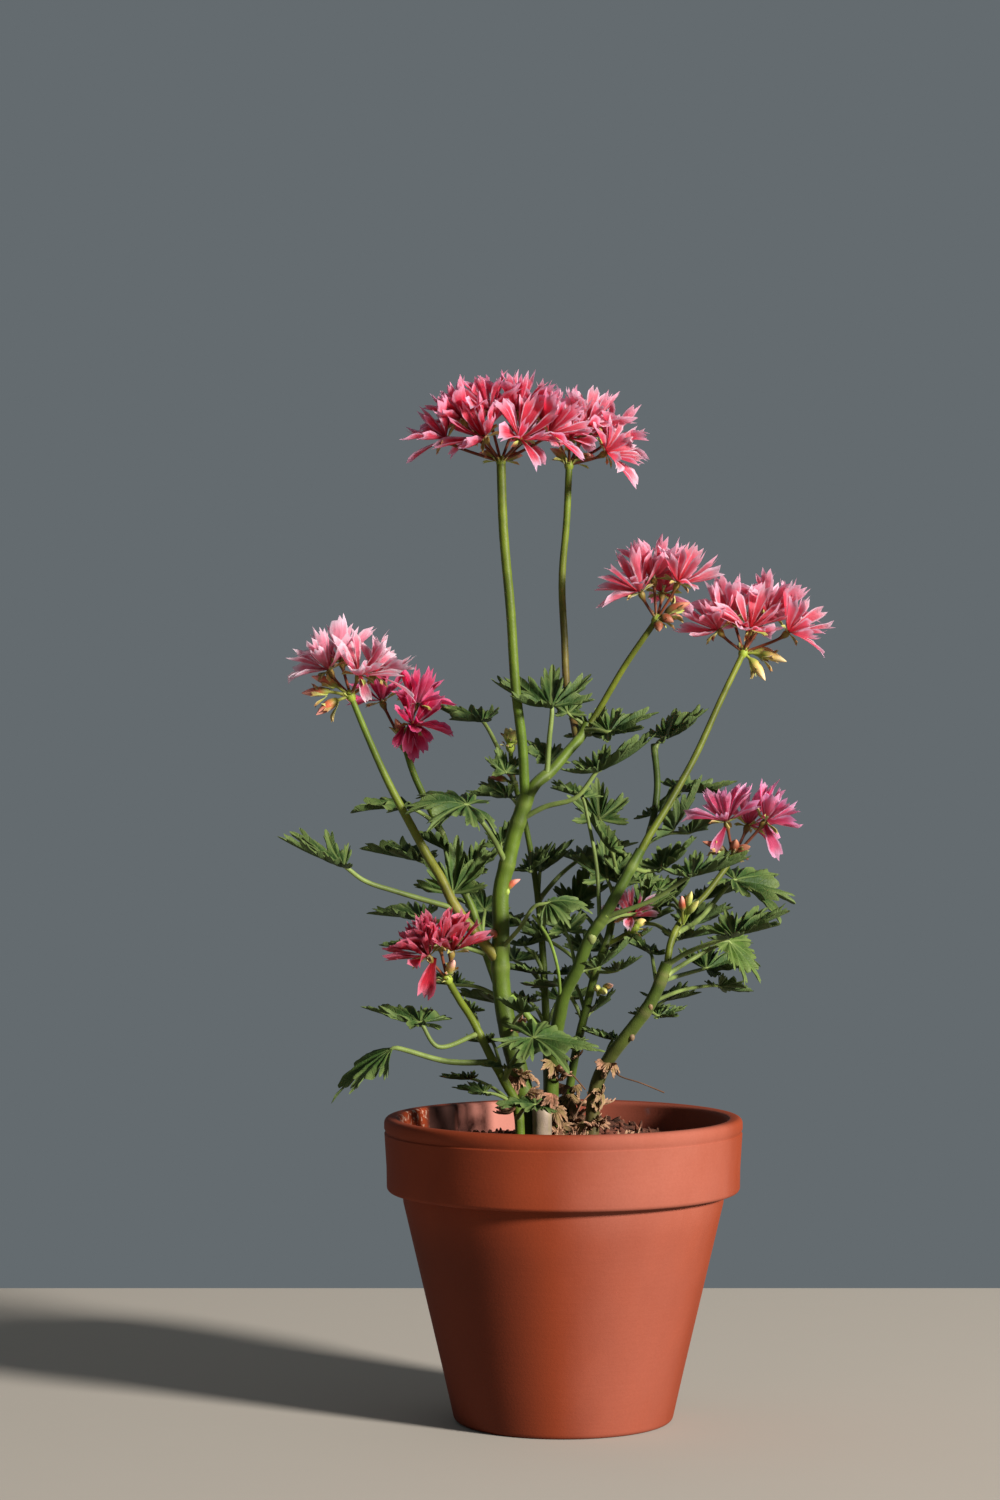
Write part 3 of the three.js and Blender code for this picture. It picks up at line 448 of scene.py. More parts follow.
class StageSettings(bpy.types.PropertyGroup):
    camera_distance: FloatProperty(
        name="Camera distance", description="From the camera to the pot's axis", default=1.48, min=0.5,
        unit="LENGTH")
    camera_side: FloatProperty(
        name="Camera side", description="How far the camera stands to the left", default=-0.0264,
        unit="LENGTH", precision=4)
    camera_height: FloatProperty(
        name="Camera height", description="Height of the camera above the floor", default=0.2796,
        unit="LENGTH", precision=4)
    lens: FloatProperty(
        name="Lens", description="Focal length", default=85, min=10, unit="CAMERA")
    floor: FloatVectorProperty(
        name="Floor", description="Colour of the floor", subtype="COLOR", size=3,
        default=paint("a29c94"), min=0, max=1)
    backdrop: FloatVectorProperty(
        name="Backdrop", description="Colour of the surroundings", subtype="COLOR", size=3,
        default=paint("646b6f"), min=0, max=1)
    sun: FloatProperty(
        name="Key light", description="Power of the light from the front right", default=740, min=0,
        unit="POWER")


# ---- Small helpers ----------------------------------------------------------------------------------
class Draw:
    """A seeded row of random numbers, the same on every run."""

    def __init__(self, seed):
        self.state = seed

    def between(self, low, high):
        self.state = (self.state * 1664525 + 1013904223) % 4294967296
        return low + (high - low) * self.state / 4294967296


def to_metres(point):
    return Vector(point) * MM


def smoothly(share):
    """A share from 0 to 1 with a soft start and end."""
    share = min(1.0, max(0.0, share))
    return share * share * (3 - 2 * share)


def mixed(first, second, share):
    return tuple(a + (b - a) * share for a, b in zip(first, second))


def ride(piece, slot, *nodes):
    """Sets a finished piece on the part's only body and hides the solids it stands for."""
    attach(piece, "root")
    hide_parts(*nodes)


def new_object(name, mesh):
    piece = bpy.data.objects.new(name, mesh)
    bpy.context.scene.collection.objects.link(piece)
    return piece


def write_marks(mesh, name, kind, values, domain="POINT", field="value"):
    """Writes a value for each point or face onto a mesh, for a tree or a material to read."""
    marks = mesh.attributes.new(name, kind, domain)
    marks.data.foreach_set(field, np.ravel(values).tolist())


def smooth_shade(mesh, sharp_above=50):
    mesh.shade_smooth()
    mesh.set_sharp_from_angle(angle=math.radians(sharp_above))


# ---- Paths ------------------------------------------------------------------------------------------
def smooth_path(points, step):
    """Evenly spaced points on the centripetal Catmull-Rom curve through the given ones."""
    knots = [2 * points[0] - points[1], *points, 2 * points[-1] - points[-2]]
    dense = []
    pieces = 12
    for a, b, c, d in zip(knots, knots[1:], knots[2:], knots[3:]):
        first = (b - a).length ** 0.5
        second = first + (c - b).length ** 0.5
        third = second + (d - c).length ** 0.5
        for index in range(pieces):
            at = first + (second - first) * index / pieces
            ab = a.lerp(b, at / first)
            bc = b.lerp(c, (at - first) / (second - first))
            cd = c.lerp(d, (at - second) / (third - second))
            abc = ab.lerp(bc, at / second)
            bcd = bc.lerp(cd, (at - first) / (third - first))
            dense.append(abc.lerp(bcd, (at - first) / (second - first)))
    dense.append(points[-1])
    steps = np.array([(q - p).length for p, q in zip(dense, dense[1:])])
    length = np.concatenate([[0], np.cumsum(steps)])
    count = max(3, round(length[-1] / step) + 1)
    even = np.linspace(0, length[-1], count)
    axes = [np.interp(even, length, [p[axis] for p in dense]) for axis in range(3)]
    return [Vector(place) for place in zip(*axes)], even


class Lines:
    """Lines with a thickness and a colour at each point, which the sweep turns into round stalks."""

    def __init__(self):
        self.points = []
        self.girths = []
        self.colours = []
        self.edges = []

    def add(self, points, girths, colours):
        start = len(self.points)
        self.points += [tuple(p) for p in points]
        self.girths += list(girths)
        self.colours += [(*colour, 1.0) for colour in colours]
        self.edges += [(start + place, start + place + 1) for place in range(len(points) - 1)]

    def to_object(self, name):
        mesh = bpy.data.meshes.new(name)
        mesh.from_pydata(self.points, self.edges, [])
        write_marks(mesh, "girth", "FLOAT", self.girths)
        write_marks(mesh, "skin", "FLOAT_COLOR", self.colours, field="color")
        return new_object(name, mesh)


# ---- Node trees -------------------------------------------------------------------------------------
class Value:
    """A value in a node tree: a sum with it is written plainly and becomes a Math node."""

    def __init__(self, tree, socket):
        self.tree = tree
        self.socket = socket

    def __add__(self, other):
        return calc("ADD", self, other)

    def __sub__(self, other):
        return calc("SUBTRACT", self, other)

    def __mul__(self, other):
        return calc("MULTIPLY", self, other)

    def __abs__(self):
        return calc("ABSOLUTE", self)


def add_node(tree, kind, inputs=None, output=0, **settings):
    """Adds a node with its settings and its linked or set inputs, and gives one of its outputs."""
    made = tree.nodes.new(kind)
    for name, setting in settings.items():
        setattr(made, name, setting)
    for key, value in (inputs or {}).items():
        if isinstance(value, Value):
            tree.links.new(value.socket, made.inputs[key])
        else:
            made.inputs[key].default_value = value
    return Value(tree, made.outputs[output])


def calc(operation, first, *others):
    """The result of one Math node."""
    inputs = dict(enumerate((first, *others)))
    return add_node(first.tree, "ShaderNodeMath", inputs, operation=operation)


def larger(first, second):
    return calc("MAXIMUM", first, second)


def fade(value, low, high):
    """0 below low and 1 above high, with a smooth step between; low may be the larger one."""
    inputs = {"Value": value, "From Min": low, "From Max": high}
    return add_node(value.tree, "ShaderNodeMapRange", inputs, "Result", interpolation_type="SMOOTHSTEP")


def geometry_tree(name, **sockets):
    """A geometry tree with inputs of the given names and kinds, and its inputs' values by name."""
    tree = bpy.data.node_groups.new(name, "GeometryNodeTree")
    for label, kind in {"Geometry": "Geometry", **sockets}.items():
        tree.interface.new_socket(name=label, in_out="INPUT", socket_type=f"NodeSocket{kind}")
    tree.interface.new_socket(name="Geometry", in_out="OUTPUT", socket_type="NodeSocketGeometry")
    outputs = tree.nodes.new("NodeGroupInput").outputs
    return tree, {output.name: Value(tree, output) for output in outputs}


def close_tree(tree, geometry, material):
    """Ends a geometry tree in Realize Instances and Set Material."""
    whole = add_node(tree, "GeometryNodeRealizeInstances", {"Geometry": geometry})
    dressed = add_node(tree, "GeometryNodeSetMaterial", {"Geometry": whole, "Material": material})
    tree.links.new(dressed.socket, tree.nodes.new("NodeGroupOutput").inputs[0])
    return tree


def named(tree, name, kind="FLOAT"):
    return add_node(tree, "GeometryNodeInputNamedAttribute", {"Name": name}, data_type=kind)


def grow(host, tree, values):
    """Runs a geometry tree on the host and leaves the result as the host's own plain mesh."""
    modifier = host.modifiers.new(tree.name, "NODES")
    modifier.node_group = tree
    sockets = {item.name: item.identifier for item in tree.interface.items_tree if item.in_out == "INPUT"}
    for name, value in values.items():
        modifier[sockets[name]] = value
    depsgraph = bpy.context.evaluated_depsgraph_get()
    mesh = bpy.data.meshes.new_from_object(
        host.evaluated_get(depsgraph), preserve_all_data_layers=True, depsgraph=depsgraph)
    if not mesh.polygons:
        raise RuntimeError(f"{tree.name} made no faces on {host.name}")
    host.modifiers.clear()
    host.data = mesh
    mesh.name = host.name
    return host


def sweep_tree():
    """Turns lines with a girth into round, slightly uneven stalks with closed ends."""
    tree, given = geometry_tree("Stalk sweep", Sides="Int", Unevenness="Float", Material="Material")
    curve = add_node(tree, "GeometryNodeMeshToCurve", {"Mesh": given["Geometry"]})
    thick = add_node(tree, "GeometryNodeSetCurveRadius", {"Curve": curve, "Radius": 1.0})
    ring = add_node(tree, "GeometryNodeCurvePrimitiveCircle", {"Resolution": given["Sides"], "Radius": 1.0})
    swept = add_node(tree, "GeometryNodeCurveToMesh", {
        "Curve": thick, "Profile Curve": ring, "Scale": named(tree, "girth"), "Fill Caps": True})
    place = add_node(tree, "GeometryNodeInputPosition")
    wave = add_node(tree, "ShaderNodeTexNoise", {"Vector": place, "Scale": 420.0, "Detail": 2.0})
    share = (wave - 0.5) * given["Unevenness"] * named(tree, "girth")
    normal = add_node(tree, "GeometryNodeInputNormal")
    offset = add_node(tree, "ShaderNodeVectorMath", {0: normal, "Scale": share}, operation="SCALE")
    uneven = add_node(tree, "GeometryNodeSetPosition", {"Geometry": swept, "Offset": offset})
    return close_tree(tree, uneven, given["Material"])


def set_shapes(tree, given, points, **choices):
    """Sets a collection's shapes on points, and ends the tree."""
    shapes = add_node(tree, "GeometryNodeCollectionInfo", {
        "Collection": given["Shapes"], "Separate Children": True, "Reset Children": True})
    placed = add_node(tree, "GeometryNodeInstanceOnPoints", {
        "Points": points, "Instance": shapes, "Pick Instance": True,
        "Instance Index": choices["shape"], "Scale": choices["size"],
        "Rotation": add_node(tree, "FunctionNodeEulerToRotation", {0: choices["turn"]})})
    return close_tree(tree, placed, given["Material"])


def scatter_tree():
    """Sets one of a collection's shapes on each point, by the point's own turn, size and number."""
    tree, given = geometry_tree("Set shapes", Shapes="Collection", Material="Material")
    return set_shapes(tree, given, given["Geometry"], shape=named(tree, "shape", "INT"),
                      size=named(tree, "size"), turn=named(tree, "turn", "FLOAT_VECTOR"))


def crumb_tree():
    """Strews a collection's shapes over a surface, each turned and sized by a seeded draw."""
    tree, given = geometry_tree(
        "Strew crumbs", Shapes="Collection", Distance="Float", Size="Float", Density="Float", Seed="Int",
        Material="Material")
    points = add_node(tree, "GeometryNodeDistributePointsOnFaces", {
        "Mesh": given["Geometry"], "Distance Min": given["Distance"], "Density Max": given["Density"],
        "Seed": given["Seed"]}, distribute_method="POISSON")
    any_turn = {0: (0.0, 0.0, 0.0), 1: (6.28, 6.28, 6.28), "Seed": given["Seed"]}
    turn = add_node(tree, "FunctionNodeRandomValue", any_turn, data_type="FLOAT_VECTOR")
    size = add_node(tree, "FunctionNodeRandomValue", {2: 0.35, 3: 1.5, "Seed": 7}, 1, data_type="FLOAT")
    pick = add_node(tree, "FunctionNodeRandomValue", {4: 0, 5: 99, "Seed": 3}, 2, data_type="INT")
    return set_shapes(tree, given, points, shape=pick, size=size * given["Size"], turn=turn)


# ---- Materials --------------------------------------------------------------------------------------
class Skin:
    """A material in the making: a Principled shader and short ways to the nodes that feed it."""

    def __init__(self, name, roughness, specular=0.4, sheen=0.0):
        self.material = bpy.data.materials.new(name)
        self.material.use_nodes = True
        self.tree = self.material.node_tree
        self.tree.nodes.clear()
        self.surface = self.add("ShaderNodeBsdfPrincipled", {
            "Roughness": roughness, "Specular IOR Level": specular, "Sheen Weight": sheen})
        self.target = self.tree.nodes.new("ShaderNodeOutputMaterial").inputs[0]
        self.tree.links.new(self.surface.socket, self.target)

    def add(self, kind, inputs=None, output=0, **settings):
        return add_node(self.tree, kind, inputs, output, **settings)

    def blend(self, share, first, second, kind="MIX"):
        """One colour mixed into another by a share."""
        values = {0: share}
        for key, colour in ((6, first), (7, second)):
            values[key] = colour if isinstance(colour, Value) else (*colour, 1.0)
        return self.add("ShaderNodeMix", values, 2, data_type="RGBA", blend_type=kind)

    def place(self, scale=(1, 1, 1)):
        """Object coordinates, stretched."""
        place = self.add("ShaderNodeTexCoord", output="Object")
        return self.add("ShaderNodeMapping", {"Vector": place, "Scale": scale})

    def axes(self, vector):
        """A vector's three numbers."""
        parts = self.add("ShaderNodeSeparateXYZ", {0: vector}).socket.node.outputs
        return [Value(self.tree, part) for part in parts]

    def vector(self, operation, *values, output="Value"):
        return self.add("ShaderNodeVectorMath", dict(enumerate(values)), output, operation=operation)

    def noise(self, place, scale, detail=3.0, roughness=0.55):
        return self.add("ShaderNodeTexNoise", {
            "Vector": place, "Scale": scale, "Detail": detail, "Roughness": roughness})

    def mark(self, name, output="Fac"):
        """What is written on the mesh under this name."""
        return self.add("ShaderNodeAttribute", output=output, attribute_name=name)

    def feed(self, name, value):
        self.tree.links.new(value.socket, self.surface.socket.node.inputs[name])

    def let_light_through(self, colour, share):
        """Mixes in light that comes through a thin blade from behind."""
        glow = self.add("ShaderNodeBsdfTranslucent", {"Color": colour})
        both = self.add("ShaderNodeMixShader", {0: share, 1: self.surface, 2: glow})
        self.tree.links.new(both.socket, self.target)

    def finish(self, colour, height, distance):
        """Sets the colour and the relief, and gives the material."""
        self.feed("Base Color", colour)
        self.feed("Normal", self.add("ShaderNodeBump", {
            "Height": height, "Distance": distance, "Strength": 1.0}))
        return self.material


def terracotta(pot):
    """Fired clay: orange body, darker damp patches, a pale mineral film that in front is partly a painted
    sheen, painted shade low on the left, and down the inner wall a lime deposit with painted light and
    shadow.
    """
    skin = Skin("terracotta", 0.85, specular=0.2)
    place = skin.place()
    x, y, z = skin.axes(place)
    flat = skin.add("ShaderNodeCombineXYZ", {0: x, 1: y, 2: 0.0})
    outward = skin.vector("NORMALIZE", flat, output="Vector")
    grain = skin.noise(place, 900, 4, 0.7)
    clouds = skin.noise(skin.place((1, 1, 0.6)), 14, 6, 0.6)
    ragged = x + (clouds - 0.5) * 0.012
    patches = fade(skin.noise(skin.place((1, 1, 0.45)), 22, 4), 0.4, 0.68)
    colour = skin.blend(patches * 0.5, pot.clay, pot.clay_dark)
    # Painted sheen: the side that faces the light, to the front right, is paled; the clouds add real mineral
    # film all round.
    front = skin.vector("DOT_PRODUCT", outward, (0.56, -0.83, 0.0))
    bloom_and_sheen = larger(fade(front + clouds * 0.36, 0.93, 1.28), fade(clouds, 0.55, 0.75) * 0.4)
    bloom_and_sheen = bloom_and_sheen * (fade(z, 0.08, 0.1) * 0.35 + 0.4)
    colour = skin.blend(bloom_and_sheen, colour, pot.clay_bloom_and_sheen)
    # Painted shade: the front-left side, turned from the light, is darkened low on the body.
    left = skin.vector("DOT_PRODUCT", outward, (-0.84, -0.54, 0.0))
    painted_shade = fade(left, 0.5, 0.95) * fade(z, 0.094, 0.07)
    colour = skin.blend(painted_shade * 0.5, colour, paint("4a1c0e"))
    colour = skin.blend(fade(grain, 0.3, 0.75) * 0.12, colour, pot.clay_dark)
    inside = fade(skin.vector("LENGTH", flat), 0.0704, 0.0694) * fade(z, 0.096, 0.1)
    # Painted pool of light: where light falls over the rim onto the back-left inner wall, the pale lime
    # deposit is made stronger.
    painted_light_pool = fade(ragged, -0.048, -0.045) * fade(ragged, -0.016, -0.022) * fade(y, 0.0, 0.02)
    lime_and_light_pool = inside * (clouds * 0.9 + 0.25) * (painted_light_pool * 0.8 + 0.2)
    colour = skin.blend(lime_and_light_pool, colour, paint("bc8074"))
    stains = fade(skin.noise(place, 55, 5, 0.6), 0.55, 0.7)
    colour = skin.blend(inside * (stains * 0.7), colour, paint("6f6268"))
    # Painted shadow: a near-black band on the inner wall, left of the pool of light, where the leaves cast
    # shade.
    damp = inside * (fade(ragged, -0.0455, -0.048) * 0.93)
    colour = skin.blend(damp, colour, paint("1e0d08"))
    # Painted spot of light: a small orange-lit area with pale grains far left on the inner wall, where light
    # gets through the leaves.
    rust = inside * (fade(ragged, -0.058, -0.0615) * fade(y, -0.01, 0.008))
    light_spot_specks = skin.blend(fade(skin.noise(place, 420, 3), 0.52, 0.6), paint("a03c14"), paint("d8b09a"))
    colour = skin.blend(rust * 0.85, colour, light_spot_specks)
    rings = skin.noise(skin.place((0.08, 0.08, 1)), 480, 3)
    skin.feed("Roughness", bloom_and_sheen * 0.25 + 0.7)
    return skin.finish(colour, grain * 0.5 + rings * 0.5, 0.00014)


def earth(soil):
    """Dry potting soil: dark between pale dusty crumbs."""
    skin = Skin("soil", 0.95, specular=0.15)
    place = skin.place()
    lumps = fade(skin.noise(place, 260, 5, 0.65), 0.36, 0.68)
    dust = fade(skin.noise(place, 60, 3), 0.4, 0.7)
    colour = skin.blend(dust * 0.35, skin.blend(lumps, soil.dark, soil.light), paint("84493a"))
    return skin.finish(colour, skin.noise(place, 700, 5, 0.7), 0.0006)


def stalk_skin():
    """Living stems: the colour painted on the stalk, streaked lengthwise, with a soft down."""
    skin = Skin("stalk", 0.5, specular=0.22, sheen=0.06)
    place = skin.place()
    streaks = fade(skin.noise(skin.place((1, 1, 0.12)), 900, 3), 0.35, 0.7)
    blotches = fade(skin.noise(place, 150, 3), 0.4, 0.7)
    dull = fade(skin.noise(skin.place((1, 1, 0.8)), 48, 2), 0.45, 0.62)
    colour = skin.blend(streaks * 0.22, skin.mark("skin", "Color"), paint("d0dc80"), "SOFT_LIGHT")
    colour = skin.blend(blotches * 0.28, colour, paint("4a5a1c"), "MULTIPLY")
    colour = skin.blend(dull * 0.4, colour, paint("4c5a26"), "MULTIPLY")
    return skin.finish(colour, skin.noise(place, 1800, 3), 0.00012)


def leaf_skin(shoot):
    """Leaf blades: dark green with pale veins, paler towards the rim, partly as a painted highlight on the
    lit edge, and paler beneath.
    """
    skin = Skin("leaf", 0.55, specular=0.16)
    blade = skin.add("ShaderNodeUVMap", uv_map="blade")
    along, side, _ = skin.axes(blade)
    across = abs(side)
    midrib = fade(across, along * -0.014 + 0.022, 0.004)
    saw = calc("FRACT", (along - across * 1.25) * 9.5)
    side_veins = fade(abs(saw - 0.5), 0.075, 0.02)
    cells = skin.add("ShaderNodeTexVoronoi", {"Vector": blade, "Scale": 34.0}, "Distance",
                     feature="DISTANCE_TO_EDGE")
    net = fade(cells, 0.09, 0.01)
    patches = fade(skin.noise(skin.place(), 120, 3), 0.35, 0.7)
    colour = skin.blend(skin.mark("young"), shoot.leaf, shoot.leaf_young)
    colour = skin.blend(patches * 0.5, colour, paint("223a18"))
    colour = skin.blend(net * 0.14, colour, shoot.vein)
    colour = skin.blend(larger(midrib * 0.6, side_veins * 0.25), colour, shoot.vein)
    # Paler towards the rim: partly the blade's pale margin, partly a painted highlight along its lit edge.
    colour = skin.blend(fade(skin.mark("rim"), 0.55, 1.0) * 0.6, colour, shoot.vein)
    colour = skin.blend(skin.mark("under") * 0.6, colour, shoot.leaf_under)
    skin.let_light_through(skin.blend(0.5, colour, paint("808c38")), 0.17)
    ribs = larger(midrib, larger(side_veins, net * 0.4))
    return skin.finish(colour, ribs * -1.0, 0.00022)


def dry_skin():
    """Dead leaves: crisp, pinkish brown, darker in patches."""
    skin = Skin("dry_leaf", 0.85, specular=0.15)
    place = skin.place()
    patches = fade(skin.noise(place, 260, 4, 0.6), 0.35, 0.7)
    colour = skin.blend(patches, paint("46301f"), paint("946652"))
    colour = skin.blend(skin.mark("young") * 2.2, colour, paint("7a6c44"))
    colour = skin.blend(fade(skin.mark("rim"), 0.6, 1) * 0.5, colour, paint("b89078"))
    return skin.finish(colour, skin.noise(place, 900, 4), 0.0004)


def petal_skin(name, colours):
    """Petals: red at the root, pale at the rim and the tips, with fine lengthwise veins."""
    root, middle, pale, back = colours
    skin = Skin(f"petal_{name}", 0.5, specular=0.2, sheen=0.1)
    petal = skin.add("ShaderNodeUVMap", uv_map="petal")
    along, side, _ = skin.axes(petal)
    fresh = skin.mark("fresh")
    stretched = skin.add("ShaderNodeMapping", {"Vector": petal, "Scale": (1.6, 9.0, 1.0)})
    own_place = skin.vector("ADD", stretched, fresh, output="Vector")
    veins = fade(skin.noise(own_place, 2.2, 3, 0.6), 0.34, 0.66)
    edge = fade(abs(side), 0.6, 0.84) * fade(along, 0.04, 0.3)
    wash = larger(fade(along, 0.56, 0.9) * 0.95, edge) * (fresh * 0.15 + 0.85)
    wash = larger(wash, fresh * 0.4 * fade(along, 0.15, 0.7) * veins)
    streak = (veins * -1.0 + 1.0) * fade(along, 0.95, 0.2)
    colour = skin.blend(fade(along, 0.05, 0.6), root, middle)
    colour = skin.blend(wash, colour, pale)
    colour = skin.blend(streak * 0.4, colour, root)
    colour = skin.blend(skin.mark("under") * 0.35, colour, back)
    skin.let_light_through(skin.blend(0.15, colour, pale), 0.65)
    return skin.finish(colour, veins, 0.00022)


def sepal_skin():
    """Sepals and bracts: downy green with a brown flush towards the tip."""
    skin = Skin("sepal", 0.6, specular=0.3, sheen=0.25)
    along, side, _ = skin.axes(skin.add("ShaderNodeUVMap", uv_map="petal"))
    flush = fade(along, 0.2, 0.9) * skin.mark("fresh")
    colour = skin.blend(flush, paint("8f9a44"), paint("8a4630"))
    colour = skin.blend(fade(abs(side), 0.6, 1) * 0.4, colour, paint("c9b98c"))
    return skin.finish(colour, skin.noise(skin.place(), 1500, 2), 0.0001)


# ---- Pot --------------------------------------------------------------------------------------------
BODY_STEP = 0.0073      # how far the body's top stands in from the rim band
DRAIN_RADIUS = 0.009
POT_FLOOR = 0.007       # thickness of the pot's floor
NECK_DROP = 0.006       # how far below the rim band the inner wall bends


def turned_mesh(name, profile, turns, wobble=0.0):
    """A closed profile of (radius, height) turned about the pot's axis; a radius of 0 is a pole."""
    angles = np.linspace(0, 2 * math.pi, turns, endpoint=False)
    drift = 1 + wobble * (np.sin(angles * 2 + 0.7) + 0.6 * np.sin(angles * 3 + 2.1))
    vertices = []
    rows = []
    for radius, height in profile:
        if radius == 0:
            rows.append([len(vertices)] * turns)
            vertices.append((0, 0, height))
            continue
        rows.append(list(range(len(vertices), len(vertices) + turns)))
        reach = radius * drift
        vertices += list(zip(reach * np.cos(angles), reach * np.sin(angles), [height] * turns))
    faces = []
    for low, high in zip(rows, rows[1:]):
        for here in range(turns):
            there = (here + 1) % turns
            corners = (low[here], low[there], high[there], high[here])
            faces.append(tuple(dict.fromkeys(corners)))
    mesh = bpy.data.meshes.new(name)
    mesh.from_pydata(vertices, [], faces)
    return mesh


def rounded(corner, radius, start, end, steps=5):
    """Points of a round edge: an arc about corner from one angle to another, in degrees."""
    angles = [math.radians(start + (end - start) * step / steps) for step in range(steps + 1)]
    return [(corner[0] + radius * math.cos(a), corner[1] + radius * math.sin(a)) for a in angles]


def pot_profile(pot):
    """The pot's section, from the drain hole round the outside to the lip and back down inside."""
    band_foot = pot.height - pot.band_height
    body_top = pot.rim_radius - BODY_STEP
    mouth = pot.rim_radius - pot.wall
    # The flat foot and its round edge
    section = [(DRAIN_RADIUS, 0.0012), (DRAIN_RADIUS + 0.0012, 0.0), (0.03, 0.0)]
    section += rounded((pot.foot_radius - 0.0026, 0.0026), 0.0026, -90, -12)
    # The tapering body, up to the step under the rim band
    section += [(pot.foot_radius + (body_top - pot.foot_radius) * share,
                 0.003 + (band_foot - 0.0045) * share) for share in (0.2, 0.4, 0.6, 0.8, 0.97)]
    section += [(body_top - 0.0005, band_foot - 0.0009), (body_top - 0.0003, band_foot)]
    # The band, with a shallow groove near its top, and the lip
    section += rounded((pot.rim_radius - 0.0031, band_foot + 0.0021), 0.0020, -86, -8)
    section += [(pot.rim_radius - 0.0010, band_foot + 0.010), (pot.rim_radius - 0.0005, band_foot + 0.018)]
    groove = ((0.0002, 0.0082), (0.0001, 0.0068), (0.0006, 0.0062), (0.0004, 0.0054), (0, 0.0046))
    section += [(pot.rim_radius - inset, pot.height - drop) for inset, drop in groove]
    section += rounded((pot.rim_radius - 0.0024, pot.height - 0.0024), 0.0024, 0, 90)
    section += rounded((mouth + 0.002, pot.height - 0.0022), 0.002, 90, 180)
    # The inner wall and the floor, back to the drain hole
    section += [(mouth - 0.0008, pot.height - 0.012), (mouth - 0.0016, pot.height - 0.024),
                (body_top - 0.0045, band_foot - NECK_DROP)]
    inner_foot = pot.foot_radius - pot.wall + 0.001
    section += [(inner_foot + (body_top - 0.0045 - inner_foot) * share,
                 POT_FLOOR + 0.003 + (band_foot - NECK_DROP - POT_FLOOR - 0.003) * share)
                for share in (0.66, 0.33, 0.0)]
    section += [(inner_foot - 0.003, POT_FLOOR), (0.02, POT_FLOOR), (DRAIN_RADIUS, POT_FLOOR),
                (DRAIN_RADIUS, 0.0012)]
    return section


class GERANIUM_OT_pot(bpy.types.Operator):
    """Turn the terracotta pot"""

    bl_idname = "geranium.pot"
    bl_label = "Make Pot"

    def execute(self, context):
        pot = context.scene.geranium_pot
        mesh = turned_mesh("pot_body", pot_profile(pot), pot.turns, wobble=0.0006)
        close_profile_ends(mesh)
        smooth_shade(mesh, 40)
        mesh.materials.append(terracotta(pot))
        ride(new_object("pot_body", mesh), "terracotta", "pot")
        return {"FINISHED"}


def close_profile_ends(mesh):
    """Merges a turned mesh's last ring with its first, and turns its faces outwards."""
    body = bmesh.new()
    body.from_mesh(mesh)
    bmesh.ops.remove_doubles(body, verts=body.verts, dist=1e-6)
    bmesh.ops.recalc_face_normals(body, faces=body.faces)
    body.to_mesh(mesh)
    body.free()


# ---- Soil -------------------------------------------------------------------------------------------
SOIL_ROWS = 44          # rings of faces on the soil's surface
SOIL_TURNS = 120        # faces round it
SOIL_GAP = 0.0004       # between the soil and the clay
CRUMBS_PER_AREA = 160000.0      # in a square metre, at most


def soil_height(x, y, soil):
    """Height of the soil's surface above its edge, with a low mound, a bank at the back and lumps."""
    x, y = x / MM, y / MM
    mound = 2.5 * MM * (1 - min(1, math.hypot(x, y) / 64) ** 2)
    swell = math.sin(0.31 * x + 0.9) * math.cos(0.27 * y - 0.4) + 0.6 * math.sin(0.17 * x - 0.23 * y)
    crumble = 0.5 * math.sin(1.13 * x + 0.4 * y) * math.sin(0.97 * y - 0.3 * x + 1.2)
    bank = (2.5 + 6.5 * math.exp(-((x - 14) / 24) ** 2)) * MM * smoothly((y - 5) / 45)
    return mound + bank + soil.relief * (swell + crumble)


def soil_meshes(soil, pot):
    """The soil's whole body, and a copy of it that keep_top_faces cuts down to the upper surface for the
    crumbs.
    """
    edge = pot.rim_radius - pot.wall - 0.0021
    floor = POT_FLOOR + SOIL_GAP
    foot = pot.foot_radius - pot.wall + 0.0007
    neck = (pot.rim_radius - BODY_STEP - 0.0049, pot.height - pot.band_height - NECK_DROP)
    # The flat surface from the middle to its edge, and then down the clay to the floor
    section = [(edge * (1 - (1 - row / SOIL_ROWS) ** 1.05), soil.level) for row in range(SOIL_ROWS + 1)]
    section += [(edge + SOIL_GAP, soil.level - 0.002), neck, (foot, floor + 0.003), (foot - 0.003, floor),
                (0, floor)]
    body = turned_mesh("soil_bed", section, SOIL_TURNS)
    for vertex in body.vertices:
        radius = math.hypot(vertex.co.x, vertex.co.y)
        if abs(vertex.co.z - soil.level) < 1e-5:
            rise = soil_height(vertex.co.x, vertex.co.y, soil)
            vertex.co.z += rise * smoothly((edge - radius) / 0.004)
    body.flip_normals()
    return body, body.copy()


def keep_top_faces(surface, level):
    """Leaves the faces at the soil's level and above."""
    cover = bmesh.new()
    cover.from_mesh(surface)
    low = [face for face in cover.faces if min(v.co.z for v in face.verts) < level - 0.001]
    bmesh.ops.delete(cover, geom=low, context="FACES")
    cover.to_mesh(surface)
    cover.free()


def lump(name, draw, squash, roughness):
    """A crumb: a small ball of 80 faces with a dented surface."""
    ball = bmesh.new()
    bmesh.ops.create_icosphere(ball, subdivisions=2, radius=1)
    for vertex in ball.verts:
        dent = 1 + draw.between(-roughness, roughness)
        place = [axis * share for axis, share in zip(vertex.co, squash)]
        vertex.co = Vector(place) * dent
    mesh = bpy.data.meshes.new(name)
    ball.to_mesh(mesh)
    ball.free()
    return mesh


